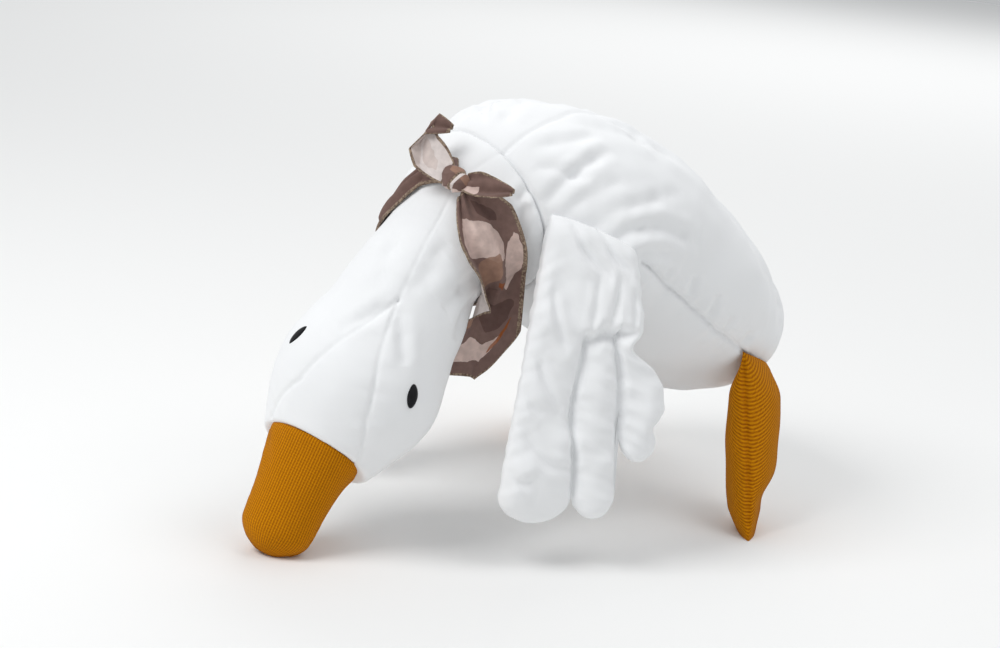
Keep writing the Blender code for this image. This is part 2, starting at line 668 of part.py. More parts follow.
def cloth_end(name, form, level, reach, rise, cotton):
    """A loose end: a leaf of cloth that leaves the knot and arches over the shoulder."""
    t = np.linspace(0.0, 1.0, 9)[:, None]
    across = np.linspace(-1.0, 1.0, 6)[None, :]
    wide = form.frame(np.asarray(level))[3]
    half = 0.5 * END_WIDTH * (0.45 + 0.75 * np.sin(0.8 * math.pi * t)) * (1.0 - 0.55 * t**3)
    s = level + rise * t + half * across
    side = math.copysign(1.0, reach)
    a = side * 0.10 + t * reach / wide + 0.0 * across
    lift = 5.0 * MM + 3 * MM * np.sin(math.pi * t) + 1.2 * MM * np.cos(math.pi * across)
    middle = form.point(s, a) + lift[..., None] * form.normal(s, a)
    d_row = np.gradient(middle, axis=0)
    d_column = np.gradient(middle, axis=1)
    outward = side * unit(np.cross(d_column, d_row))
    return slab(name, middle + 0.5 * CLOTH * outward, middle - 0.5 * CLOTH * outward, cotton)


def stand_on_floor():
    """Moves every object so that the goose stands on z = 0, centred on the origin."""
    low = np.full(3, np.inf)
    high = -low
    for obj in bpy.data.objects:
        count = len(obj.data.vertices)
        co = np.empty(count * 3, np.float32)
        obj.data.vertices.foreach_get("co", co)
        low = np.minimum(low, co.reshape(-1, 3).min(axis=0))
        high = np.maximum(high, co.reshape(-1, 3).max(axis=0))
    shift = np.array([-(low[0] + high[0]) / 2, -(low[1] + high[1]) / 2, -low[2]])
    for obj in bpy.data.objects:
        count = len(obj.data.vertices)
        co = np.empty(count * 3, np.float32)
        obj.data.vertices.foreach_get("co", co)
        obj.data.vertices.foreach_set("co", (co.reshape(-1, 3) + shift).astype(np.float32).ravel())
        obj.data.update()


def main():
    clear_scene()
    jersey = make_material("white_jersey", (0.83, 0.82, 0.80), 0.85)
    knit = make_material("ochre_rib_knit", (0.60, 0.27, 0.02), 0.9)
    thread = make_material("black_thread", (0.02, 0.02, 0.022), 0.6)
    cotton = make_material("taupe_cotton", (0.27, 0.17, 0.14), 0.9)
    filling = make_material("polyester_filling", (0.85, 0.85, 0.84), 0.95)
    form = SoftForm()
    body_panels(form, jersey)
    neck_panels(form, jersey)
    beak_panels(form, knit)
    make_stuffing(form, filling)
    make_eyes(form, thread)
    make_wings(form, jersey, filling)
    make_feet(form, knit, filling)
    make_neckerchief(form, cotton)
    stand_on_floor()


main()
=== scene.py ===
# %% [markdown]
# # Plush goose
# The goose is sewn from white cotton jersey and ochre rib knit, stuffed with loose fibre, and wears
# a printed cotton cloth. This lesson dresses a plain solid model of it. Every piece starts as a
# flat grid, as the fabric did, and is then rolled round a soft form and pressed in at the seams.

# %% Tools and the solid model
import math

import bmesh
import bpy
import numpy as np
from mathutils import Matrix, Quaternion, Vector, kdtree, noise


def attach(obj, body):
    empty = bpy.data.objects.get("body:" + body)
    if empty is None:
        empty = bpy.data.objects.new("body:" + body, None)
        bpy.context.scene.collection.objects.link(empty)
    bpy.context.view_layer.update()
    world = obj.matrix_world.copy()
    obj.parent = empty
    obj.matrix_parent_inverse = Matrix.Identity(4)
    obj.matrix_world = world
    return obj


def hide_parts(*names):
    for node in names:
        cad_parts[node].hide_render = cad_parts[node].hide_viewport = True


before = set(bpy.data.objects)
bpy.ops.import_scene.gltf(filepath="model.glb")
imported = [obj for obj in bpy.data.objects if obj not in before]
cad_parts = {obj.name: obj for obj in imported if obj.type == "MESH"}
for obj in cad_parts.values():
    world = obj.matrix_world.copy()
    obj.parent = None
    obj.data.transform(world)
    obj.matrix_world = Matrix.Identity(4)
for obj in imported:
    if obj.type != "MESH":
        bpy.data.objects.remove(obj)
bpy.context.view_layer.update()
MM = 0.001

# %% [markdown]
# ## The soft form
# Body, neck, head and beak of a real goose toy are one stuffed tube. Its middle line runs from the
# tail (s = 0) over the back, down the neck to the beak. At each stop of that line a section has a
# width, a depth, a lean and a twist, and smooth curves run between the stops. The numbers are those
# of the solid model, so that cloth and solid fit each other.

# %% Stops of the middle line and the sections on it
STOPS = np.array([
    (355, 78), (284, 132), (222, 167), (174, 184), (144, 185),
    (113, 167), (82, 126), (54, 86), (24, 44), (1, 1),
]) * MM
LINE = np.column_stack([np.zeros(len(STOPS)), STOPS])
STATIONS = np.concatenate([[0.0], np.cumsum(np.linalg.norm(np.diff(LINE, axis=0), axis=1))])
LENGTH = STATIONS[-1]
HALF_WIDTH = np.array([72.2, 90.6, 88, 81.8, 56, 36, 39, 47.5, 27.5, 18.5]) * MM
HALF_DEPTH = np.array([44.2, 61.6, 67, 59, 46.3, 35, 37, 42, 20, 12]) * MM
LEAN = np.radians([46.0, 36.0, 22.0, 6.0, -12.0, -33.0, -52.0, -57.0, -59.0, -60.0])
TWIST = np.radians([0.0, 0.0, 4.0, 13.2, 24.0, 32.0, 34.0, 34.0, 34.0, 34.0])
COLLAR = STATIONS[4] - 8 * MM
BEAK = STATIONS[8]
BEAK_SEAM_BOW = 7 * MM
# COLLAR and BEAK are the solid model's seams. The photograph shows both a little nearer to the head,
# so the cloth pieces meet at these two:
COLLAR_SEAM = COLLAR + 13 * MM
KNIT_SEAM = BEAK - 11 * MM
TAIL_ROUNDING = 46 * MM
BEAK_ROUNDING = 15 * MM
PLACE = np.array([-3.158, -180.307, -0.712]) * MM    # puts the form where the solid model stands
print("tail to beak along the middle line:", round(LENGTH / MM), "mm")


# %% Reading the form
def along_curve(values, s):
    """Value at s of a smooth curve through the values at the stations."""
    values = np.asarray(values, float)
    slopes = np.gradient(values, STATIONS, axis=0)
    i = np.clip(np.searchsorted(STATIONS, s) - 1, 0, len(STATIONS) - 2)
    span = STATIONS[i + 1] - STATIONS[i]
    t = (s - STATIONS[i]) / span
    if values.ndim > 1:
        span, t = span[..., None], t[..., None]
    return ((2 * t**3 - 3 * t**2 + 1) * values[i] + (t**3 - 2 * t**2 + t) * span * slopes[i]
            + (3 * t**2 - 2 * t**3) * values[i + 1] + (t**3 - t**2) * span * slopes[i + 1])


def skin_point(s, a):
    """Point of the soft form at s along it and at the angle a round from its crown."""
    s, a = np.broadcast_arrays(np.asarray(s, float), np.asarray(a, float))
    lean, turn = along_curve(LEAN, s), along_curve(TWIST, s)
    crown = np.stack([np.sin(turn), np.cos(turn) * np.sin(lean), np.cos(turn) * np.cos(lean)], -1)
    left = np.stack([np.cos(turn), -np.sin(turn) * np.sin(lean), -np.sin(turn) * np.cos(lean)], -1)
    tail_end = np.clip(1 - s / TAIL_ROUNDING, 0, 1)
    beak_end = np.clip(1 - (LENGTH - s) / BEAK_ROUNDING, 0, 1)
    closing = np.sqrt(np.maximum(1 - tail_end**2, 0) * np.maximum(1 - beak_end**2, 0))
    wide = along_curve(HALF_WIDTH, s) * closing
    deep = along_curve(HALF_DEPTH, s) * closing
    return (along_curve(LINE, s) + PLACE + (np.cos(a) * deep)[..., None] * crown
            + (np.sin(a) * wide)[..., None] * left)


def unit(v):
    return v / np.maximum(np.linalg.norm(v, axis=-1, keepdims=True), 1e-12)


def skin_normal(s, a):
    s, a = np.broadcast_arrays(np.asarray(s, float), np.asarray(a, float))
    along = skin_point(np.minimum(s + 0.4 * MM, LENGTH - 0.01 * MM), a)
    along = along - skin_point(np.maximum(s - 0.4 * MM, 0.01 * MM), a)
    return unit(np.cross(along, skin_point(s, a + 0.01) - skin_point(s, a - 0.01)))


def neck_level(share, a):
    """s of a share of the way from the solid model's collar seam to its beak seam."""
    return COLLAR + share * (BEAK - BEAK_SEAM_BOW * np.cos(a) - COLLAR)


print("crown of the neck at", np.round(skin_point(COLLAR, 0.0) / MM, 1))

# %% [markdown]
# ## Cloth from a flat grid
# A flat grid is the simplest bit of cloth. `cloth` makes one with `create_grid`, hands the place of
# each point on it to a shape function, and welds the edges that meet, so that a rolled piece closes
# like a sewn one. The grid's own UV map is kept in millimetres, and the weave reads it.

# %% A helper that rolls a grid into a piece
def cloth(name, across, down, shape, size_mm, weld=True):
    """A grid placed by shape(u, v), which may also say where each point lies in the weave, in mm."""
    work = bmesh.new()
    bmesh.ops.create_grid(work, x_segments=across, y_segments=down, size=0.5)
    mesh = bpy.data.meshes.new(name)
    work.to_mesh(mesh)
    flat = np.empty(len(mesh.vertices) * 3, np.float32)
    mesh.vertices.foreach_get("co", flat)
    flat = flat.reshape(-1, 3).astype(float) + 0.5
    placed = shape(flat[:, 0], flat[:, 1])
    if not isinstance(placed, tuple):
        placed = placed, flat[:, :2] * np.array(size_mm)
    mesh.vertices.foreach_set("co", placed[0].astype(np.float32).ravel())
    corners = np.empty(len(mesh.loops), np.int32)
    mesh.loops.foreach_get("vertex_index", corners)
    layer = mesh.uv_layers.new(name="weave_mm")
    layer.data.foreach_set("uv", placed[1][corners].astype(np.float32).ravel())
    work.clear()
    work.from_mesh(mesh)
    if weld:
        bmesh.ops.remove_doubles(work, verts=work.verts, dist=1e-6)
        bmesh.ops.dissolve_degenerate(work, edges=work.edges, dist=1e-7)
        bmesh.ops.recalc_face_normals(work, faces=work.faces)
    work.to_mesh(mesh)
    work.free()
    mesh.shade_smooth()
    piece = bpy.data.objects.new(name, mesh)
    bpy.context.scene.collection.objects.link(piece)
    print(name, len(mesh.vertices), "points")
    return piece


# %% [markdown]
# ## Lumps, seams and creases
# Loose filling leaves a stuffed toy softly uneven. Where two panels are sewn together, the thread
# pulls the cloth in and leaves small puckers to each side. Where a limb is sewn on or the neck
# bends, longer creases run out. All three are small moves of the skin along its normal, so each is
# a function that says how far a point goes in.

# %% Functions that press the skin in
def lumps(points, size, depth, seed):
    """Soft uneven filling: smooth noise with lumps of about this size."""
    shift = Vector((seed * 7.1, seed * 3.3, seed * 5.7))
    return depth * np.array([noise.noise(Vector(p) / size + shift) for p in points])


def nearest_on(points, line):
    """Distance to a dense line of points, and how far along it the nearest one is."""
    tree = kdtree.KDTree(len(line))
    for i, p in enumerate(line):
        tree.insert(p, i)
    tree.balance()
    found = [tree.find(p) for p in points]
    run = np.concatenate([[0.0], np.cumsum(np.linalg.norm(np.diff(line, axis=0), axis=1))])
    return np.array([f[2] for f in found]), run[[f[1] for f in found]], run[-1]


def seam_press(points, line, depth=1.3 * MM, width=1.5 * MM, pucker=0.5 * MM, reach=7 * MM, seed=1):
    """How far a seam pulls the skin in: a narrow valley, and puckers across it that fade away."""
    away, run, _ = nearest_on(points, line)
    valley = depth * np.exp(-(away / width) ** 2)
    shoulder = 0.35 * depth * np.exp(-(away / (4 * width)) ** 2)
    wave = np.array([noise.noise(Vector((r / (4.5 * MM), seed * 9.3, 0.4))) for r in run])
    fade = np.exp(-away / reach) * (1 - np.exp(-(away / (1.2 * width)) ** 2))
    return valley + shoulder + pucker * wave * fade


def crease_press(points, line, depth, width):
    """A soft fold along a line: a valley with a low ridge on both sides, dying out at its ends."""
    away, run, total = nearest_on(points, line)
    ends = np.sin(math.pi * np.clip(run / max(total, 1e-9), 0.0, 1.0)) ** 0.7
    uneven = [noise.noise(Vector((r / (9 * MM), total * 90, depth * 900))) for r in run]
    ends = ends * np.array([1 + 0.9 * x for x in uneven])
    valley = np.exp(-(away / width) ** 2)
    ridge = np.exp(-((away - 2.0 * width) / (1.1 * width)) ** 2)
    return depth * ends * (valley - 0.35 * ridge)


def skin_line(stops, count=80):
    """A dense line on the form through stops given as (s in mm, angle in degrees)."""
    stops = np.array(stops, float)
    t = np.linspace(0, len(stops) - 1, count)
    s = np.interp(t, np.arange(len(stops)), stops[:, 0]) * MM
    a = np.radians(np.interp(t, np.arange(len(stops)), stops[:, 1]))
    return skin_point(s, a)


# %% [markdown]
# ## The body
# The real body is two side panels and a belly panel, gathered at the tail and sewn to the neck along
# the collar. Here it is one grid: angle round the form across, length along it down. The end rows
# turn in behind the collar seam and close.

# %% Body: grid, seams and creases
TUCK = 5 * MM
TUCK_ROWS = 0.02    # the share of a grid's rows that is turned in at an end


def tube(u, v, start, end, tuck_start, tuck_end):
    """s, a and inward tuck for a grid rolled round the form between two seams."""
    a = 2 * math.pi * u
    low, high = (TUCK_ROWS if tuck_start else 0.0), (1 - TUCK_ROWS if tuck_end else 1.0)
    t = np.clip((v - low) / (high - low), 0, 1)
    shrink = np.where(v < low, 1 - v / max(low, 1e-9), 0.0)
    shrink = np.where(v > high, (v - high) / (1 - high + 1e-9), shrink)
    first = start(a) if callable(start) else start + 0 * a
    last = end(a) if callable(end) else end + 0 * a
    return a, first + t * (last - first), np.clip(shrink, 0, 1)


def close_end(points, s, a, shrink, way):
    """Turns the end rows in towards the middle line, a little back from the seam."""
    middle = along_curve(LINE, s) + PLACE
    back = unit(along_curve(LINE, s + MM) - along_curve(LINE, s - MM)) * (way * TUCK)
    return points + shrink[:, None] * (middle + back - points)


# Stops of the lines below are (s in mm, angle from the crown in degrees). A crease has its stops,
# then its depth and its width in mm.
SIDE_SEAM = [(0.5, 105), (40, 108), (73, 110), (106, 110), (139, 106), (169, 99), (198, 88)]
RIDGE_SEAM = [(4, 0), (170, 0), (196, 3), (COLLAR_SEAM / MM, 3)]
BODY_CREASES = [
    ([(244, 46), (234, 39), (221, 33), (206, 29)], 3.2, 3.6),
    ([(240, 58), (228, 50), (214, 46), (200, 45)], 0.9, 3.4),
    ([(228, 68), (214, 59), (196, 57), (168, 51)], 1.3, 3.8),
    ([(220, 78), (210, 70), (190, 70), (154, 75)], 3.2, 4.2),
    ([(212, 86), (198, 82), (180, 83), (166, 87)], 1.1, 3.4),
    ([(216, 10), (198, 16), (168, 26), (150, 34)], 1.8, 7.0),
    ([(240, 22), (232, 30), (222, 42)], 2.4, 3.2),
    ([(236, 12), (222, 18), (204, 20)], 1.6, 4.0),
    ([(146, 101), (150, 90)], 2.2, 2.8),
    ([(121, 106), (126, 94)], 2.2, 2.8),
    ([(100, 111), (104, 99)], 2.0, 2.8),
    ([(72, 110), (78, 98)], 1.8, 3.0),
    ([(170, 98), (174, 90)], 2.0, 2.8),
    ([(196, 3), (186, 12), (174, 20)], 2.0, 3.6),
    ([(120, 30), (100, 44), (84, 66)], 1.3, 8.0),
    ([(60, 40), (50, 60), (46, 84)], 1.3, 7.0),
]


def body_shape(u, v):
    a, s, shrink = tube(u, v**1.1, 0.0, COLLAR_SEAM, False, True)
    points = skin_point(s, a)
    normal = skin_normal(s, a)
    press = lumps(points, 45 * MM, 2.2 * MM, 1) + lumps(points, 17 * MM, 0.8 * MM, 2)
    press += seam_press(points, skin_line(RIDGE_SEAM, 160), seed=3)
    for side in (1, -1):
        turned = [(s_mm, side * deg) for s_mm, deg in SIDE_SEAM]
        press += seam_press(points, skin_line(turned, 160), depth=2.8 * MM, width=1.2 * MM,
                            pucker=2.2 * MM, seed=4 + side)
        for stops, depth, width in BODY_CREASES:
            mirrored = [(s_mm, side * deg) for s_mm, deg in stops]
            press += crease_press(points, skin_line(mirrored, 40), depth * MM, width * MM)
    collar_gap = COLLAR_SEAM - s
    press += 1.0 * MM * np.exp(-(collar_gap / (1.6 * MM)) ** 2)
    press += 0.5 * MM * np.exp(-(collar_gap / (6.0 * MM)) ** 2)
    press += 1.5 * MM * np.exp(-(s / (5 * MM)) ** 2)
    points = points - press[:, None] * normal
    return close_end(points, s, a, shrink, -1)


body = cloth("jersey_body", 300, 190, body_shape, (500, 260))

# %% [markdown]
# ## Neck and head
# Two side panels run from the collar to the beak, with a wedge of cloth, the crown gusset, let in
# between them on top of the head. Its two seams meet in a point on the nape.

# %% Neck and head: grid, gusset seams and nape seam
GUSSET_SEAMS = {
    1: [(328, 6), (360, 16), (391, 30), (418, 58)],
    -1: [(328, 6), (361, -14), (388, -26), (412, -57)],
}
NAPE_SEAM = [(COLLAR_SEAM / MM, 3), (268, -9), (283, -3), (304, 2), (328, 6)]
NECK_CREASES = [
    ([(330, 8), (342, 22), (356, 34)], 2.2, 3.6),
    ([(331, 4), (343, -8), (356, -20)], 2.0, 3.6),
    ([(326, 6), (312, 16), (296, 24)], 1.4, 4.5),
    ([(318, 44), (300, 56), (284, 70)], 2.4, 4.5),
    ([(326, 74), (310, 74), (294, 84)], 2.4, 4.5),
    ([(262, 62), (256, 48), (250, 40)], 2.6, 3.2),
    ([(244, 30), (252, 34), (258, 44)], 2.0, 3.0),
    ([(290, 20), (300, 14), (312, 10)], 1.4, 4.0),
    ([(296, -30), (312, -24), (330, -12)], 1.4, 5.0),
]


def knit_seam(a):
    """s of the seam between jersey and rib knit: on the crown it lies nearer to the head."""
    return KNIT_SEAM - BEAK_SEAM_BOW * np.cos(a)


def neck_shape(u, v):
    a, s, shrink = tube(u, v, COLLAR_SEAM, knit_seam, True, True)
    points = skin_point(s, a)
    normal = skin_normal(s, a)
    press = lumps(points, 38 * MM, 1.8 * MM, 5) + lumps(points, 15 * MM, 0.6 * MM, 6)
    press += seam_press(points, skin_line(NAPE_SEAM, 120), depth=0.5 * MM, width=0.9 * MM,
                        pucker=0.3 * MM, seed=7)
    for side, stops in GUSSET_SEAMS.items():
        press += seam_press(points, skin_line(stops, 120), depth=1.1 * MM, width=1.2 * MM,
                            pucker=0.8 * MM, seed=9 + side)
    for stops, depth, width in NECK_CREASES:
        press += crease_press(points, skin_line(stops, 40), depth * MM, width * MM)
    from_collar = s - COLLAR_SEAM
    from_beak = knit_seam(a) - s
    press += 1.0 * MM * np.exp(-(from_collar / (1.6 * MM)) ** 2)
    press += 1.0 * MM * np.exp(-(from_beak / (1.6 * MM)) ** 2)
    points = points - press[:, None] * normal
    way = np.where(v < 0.5, 1.0, -1.0)[:, None]
    return close_end(points, s, a, shrink, way)


neck = cloth("jersey_neck_and_head", 240, 210, neck_shape, (300, 200))

# %% [markdown]
# ## The beak
# Two pieces of rib knit, sewn together along the sides. The ribs run from head to tip, about
# 1.6 mm apart as far as the photograph shows, so they are modelled as ridges, and a bump adds the
# stitches.

# %% Beak: a ribbed, flattened cone
RIB_MM = 1.6
RIB = RIB_MM * MM
BEAK_GATHER = [(416, -74), (424, -60), (436, -40)]


def arc_round(s, b):
    """Length round the form at s, from the middle of a panel to the angle b."""
    wide, deep = along_curve(HALF_WIDTH, s), along_curve(HALF_DEPTH, s)
    steps = (np.arange(16) + 0.5) / 16
    t = b[:, None] * steps
    speed = np.sqrt((wide[:, None] * np.cos(t)) ** 2 + (deep[:, None] * np.sin(t)) ** 2)
    return speed.mean(axis=1) * b


def beak_shape(u, v):
    a, s, shrink = tube(u, v, knit_seam, LENGTH, True, False)
    points = skin_point(s, a)
    normal = skin_normal(s, a)
    from_head = s - knit_seam(a)
    upper = np.cos(a) > 0
    middle = np.where(upper, (a + math.pi) % (2 * math.pi) - math.pi, a - math.pi)
    over = arc_round(s, middle)
    press = 0.10 * MM * np.cos(2 * math.pi * over / RIB) + lumps(points, 26 * MM, 1.5 * MM, 11)
    press += 1.1 * MM * np.exp(-(from_head / (1.8 * MM)) ** 2)
    press += 3.6 * MM * np.abs(np.sin(a)) ** 3 * np.exp(-(from_head / (30 * MM)) ** 2)
    press += crease_press(points, skin_line(BEAK_GATHER, 30), 1.4 * MM, 4 * MM)
    for side in (1, -1):
        line = skin_point(np.linspace(KNIT_SEAM, LENGTH - MM, 90), side * math.pi / 2)
        press += seam_press(points, line, depth=0.9 * MM, width=1.1 * MM,
                            pucker=0.3 * MM, seed=12 + side)
    points = points - press[:, None] * normal
    points[:, 2] = np.maximum(points[:, 2], 0.0)
    weave = np.column_stack([over + np.where(upper, 0, 0.1), s]) / MM
    return close_end(points, s, a, shrink, 1.0), weave


beak = cloth("rib_knit_beak", 560, 90, beak_shape, (150, 70))

# %% [markdown]
# ## The eyes
# Each eye is a pointed oval filled with black satin stitch, which stands a little proud of the
# jersey. A small grid is pulled to the oval and domed.

# %% Eyes: domed ovals of thread
EYE_HALF_LENGTH, EYE_HALF_WIDTH = 6.75 * MM, 3.6 * MM
EYE_SHARE, EYE_ANGLE, EYE_CANT = 0.70, math.radians(50), math.radians(24)
THREAD_MM = 0.55    # from one thread of the satin stitch to the next


def eye_shape(side):
    def shape(u, v):
        x, y = 2 * u - 1, 2 * v - 1
        disc_x, disc_y = x * np.sqrt(1 - 0.5 * y**2), y * np.sqrt(1 - 0.5 * x**2)
        narrow = 1 - 0.16 * np.abs(disc_y) ** 1.5
        lengthwise, crosswise = EYE_HALF_LENGTH * disc_y, EYE_HALF_WIDTH * disc_x * narrow
        level = neck_level(EYE_SHARE, EYE_ANGLE)
        wide = along_curve(HALF_WIDTH, level)
        s = level + lengthwise * math.cos(EYE_CANT) - crosswise * math.sin(EYE_CANT)
        round_head = crosswise * math.cos(EYE_CANT) + lengthwise * math.sin(EYE_CANT)
        a = side * (EYE_ANGLE + round_head / wide)
        rim = np.clip(1 - disc_x**2 - disc_y**2, 0, 1)
        stitches = 0.08 * MM * np.cos(2 * math.pi * lengthwise / (THREAD_MM * MM))
        height = -0.9 * MM + 1.9 * MM * rim**0.35 + stitches * rim
        return skin_point(s, a) + height[:, None] * skin_normal(s, a)
    return shape


eyes = [cloth("satin_stitch_eye_" + word, 40, 60, eye_shape(side), (7, 13.5), weld=False)
        for side, word in ((1, "left"), (-1, "right"))]

# %% [markdown]
# ## The wings
# A wing is two layers of jersey with thin padding between them, sewn round three feathers. Two
# stitched channels part the feathers, and the stitching gathers the cloth into small puckers. The
# grid runs once round the wing, front and back, so its two edges are the sewn edge.

# %% Wings: quilted feathers
WING_LENGTH, WING_ROOT, WING_SPREAD, WING_HALF = 148 * MM, 47 * MM, 90 * MM, 7.5 * MM
FEATHERS = ((0.0, 0.47, 1.0), (0.47, 0.75, 0.98), (0.75, 1.0, 0.76))    # start, end, reach
WING_TURN, WING_FLARE = math.radians(30), math.radians(8)
WING_HANG = np.array([93, 171, 173]) * MM
RIGHT_WING_SHIFT = np.array([3, 10, 0]) * MM
WING_BACK = np.array([math.sin(WING_TURN), math.cos(WING_TURN), 0.0])
WING_SIDE = np.array([math.cos(WING_TURN), -math.sin(WING_TURN), 0.0])
UP = np.array([0.0, 0.0, 1.0])
WING_DOWN = math.sin(WING_FLARE) * WING_SIDE - math.cos(WING_FLARE) * UP
WING_FACE = math.cos(WING_FLARE) * WING_SIDE + math.sin(WING_FLARE) * UP


def flip(points, side):
    """The same place on the goose's other side, where side is -1."""
    return points * np.array([side, 1.0, 1.0])


def bump_to(x, start, soft):
    """0 before start and 1 after it, turning smoothly over about this far."""
    return 1 / (1 + np.exp(-(x - start) / soft))


def ripple(x, z, size, seed):
    """Smooth noise over a flat cloth, with waves of about this size."""
    return np.array([noise.noise(Vector((p / size, q / size, seed))) for p, q in zip(x, z)])


# Channels of quilting between the feathers: place across, where it starts down the wing, and how
# steeply its puckers run on the side towards the tail.
CHANNELS = ((0.47, 0.37, 0.15), (0.75, 0.33, 0.55))
WING_CREASES = [    # from and to, as share of width and of length; depth in mm
    ((0.46, 0.37), (0.62, 0.32), 3.0), ((0.60, 0.32), (0.96, 0.30), 3.2),
    ((0.74, 0.14), (0.66, 0.30), 2.4), ((0.90, 0.16), (0.88, 0.29), 2.2),
    ((0.54, 0.16), (0.50, 0.33), 1.8), ((0.10, 0.46), (0.34, 0.60), 2.2),
    ((0.08, 0.70), (0.38, 0.82), 2.2), ((0.14, 0.24), (0.30, 0.40), 2.0),
    ((0.25, 0.03), (0.62, 0.13), 2.6), ((0.55, 0.02), (0.85, 0.09), 2.4),
    ((0.05, 0.58), (0.22, 0.62), 1.6), ((0.04, 0.86), (0.20, 0.84), 1.6),
]


def wing_creases(across, v):
    """How far the creases press a wing in: each is a bowed valley with a low ridge beside it."""
    wing_size = np.array([WING_SPREAD, WING_LENGTH])
    at = np.column_stack([across, v]) * wing_size
    total = np.zeros_like(v)
    for start, end, depth in WING_CREASES:
        start, end = np.array(start) * wing_size, np.array(end) * wing_size
        run = np.clip((at - start) @ (end - start) / ((end - start) @ (end - start)), 0, 1)
        bow = 2.5 * MM * np.sin(math.pi * run)
        off = at - start - run[:, None] * (end - start) - bow[:, None] * np.array([0, 1])
        off = np.linalg.norm(off, axis=1)
        fade = 0.25 + 0.75 * np.sin(math.pi * run)
        valley = np.exp(-(off / (2.6 * MM)) ** 2)
        ridge = np.exp(-((off - 6 * MM) / (3.5 * MM)) ** 2)
        total += depth * MM * fade * (valley - 0.4 * ridge)
    return total


def feather_outline(across):
    """How far down the wing reaches at a place across it, and how full its feather is there."""
    reach = np.zeros_like(across)
    lobe = np.zeros_like(across)
    for start, end, tip in FEATHERS:
        inside = (across >= start - 1e-6) & (across <= end + 1e-6)
        swing = (2 * across - start - end) / (end - start)
        round_end = np.sqrt(np.clip(1 - 0.92 * swing**2, 0, 1))
        reach = np.where(inside, np.maximum(reach, tip - 0.12 * (1 - round_end)), reach)
        lobe = np.where(inside, np.maximum(lobe, np.sqrt(np.clip(1 - swing**2, 0, 1))), lobe)
    return reach, lobe


def wing_middle(across, v, reach, side):
    """The sheet between a wing's two faces, as if on the left, how far down it is and its width."""
    widening = (WING_SPREAD - WING_ROOT) * v**0.75
    place = -WING_ROOT - 0.55 * widening + across * (WING_ROOT + widening)
    rear = np.clip((across - 0.55) / 0.45, 0, 1) ** 2
    place = place - 8 * MM * rear * np.exp(-((v - 0.37) / 0.05) ** 2)
    place = place + 9 * MM * rear * np.exp(-((v - 0.60) / 0.15) ** 4)
    waist = np.exp(-((across - 0.5) / 0.2) ** 2) * np.exp(-((v - 0.62) / 0.16) ** 2)
    place = place - 5 * MM * waist
    fall = WING_LENGTH * v * (1 + (reach - 1) * v**1.5) - 20 * MM * (1 - across) * (1 - v)
    middle = WING_HANG + place[:, None] * WING_BACK + fall[:, None] * WING_DOWN
    root_place = -WING_ROOT + across * WING_ROOT
    root = WING_HANG + root_place[:, None] * WING_BACK - 20 * MM * (1 - across)[:, None] * WING_DOWN
    if side < 0:
        middle, root = middle + RIGHT_WING_SHIFT, root + RIGHT_WING_SHIFT
    # The root edge is drawn to its seam on the body, and that pull eases off down the wing.
    seam_s = COLLAR + 9 * MM - across * 36 * MM
    seam_a = side * np.radians(77 + 14 * across) - along_curve(TWIST, seam_s)
    normal = skin_normal(seam_s, seam_a)
    tilt = np.abs(normal @ flip(WING_FACE, side))
    seat = flip(skin_point(seam_s, seam_a) - PLACE + (1.4 * MM * tilt)[:, None] * normal, side)
    return middle + ((1 - v) ** 2.5)[:, None] * (seat - root), fall, WING_ROOT + widening


def pillow(away, soft):
    """0 at an edge and 1 from this far on, round as a cushion's side is."""
    return np.sqrt(1 - (1 - np.clip(away / soft, 0, 1)) ** 2)


def press_channels(half, across, v, fall, wide, puff, side):
    """Half a wing's thickness with the stitched channels and the puckers that run off them."""
    for split, start, slant in CHANNELS:
        off = (across - split) * wide
        on = bump_to(v, start, 0.012)
        half = half * (1 - 0.86 * on * np.exp(-(np.abs(off) / (2.0 * MM)) ** 2))
        half = half * (1 - 0.25 * on * np.exp(-(np.abs(off) / (6.0 * MM)) ** 2))
        level = fall - np.where(off > 0, slant, -0.35) * np.abs(off)
        wave = ripple(level, off * 0.25, 5.5 * MM, split * 9 + side)
        fade = np.exp(-np.abs(off) / (9 * MM)) * (1 - np.exp(-(off / (1.6 * MM)) ** 2))
        half = half + on * 2.6 * MM * wave * fade * puff
    return half


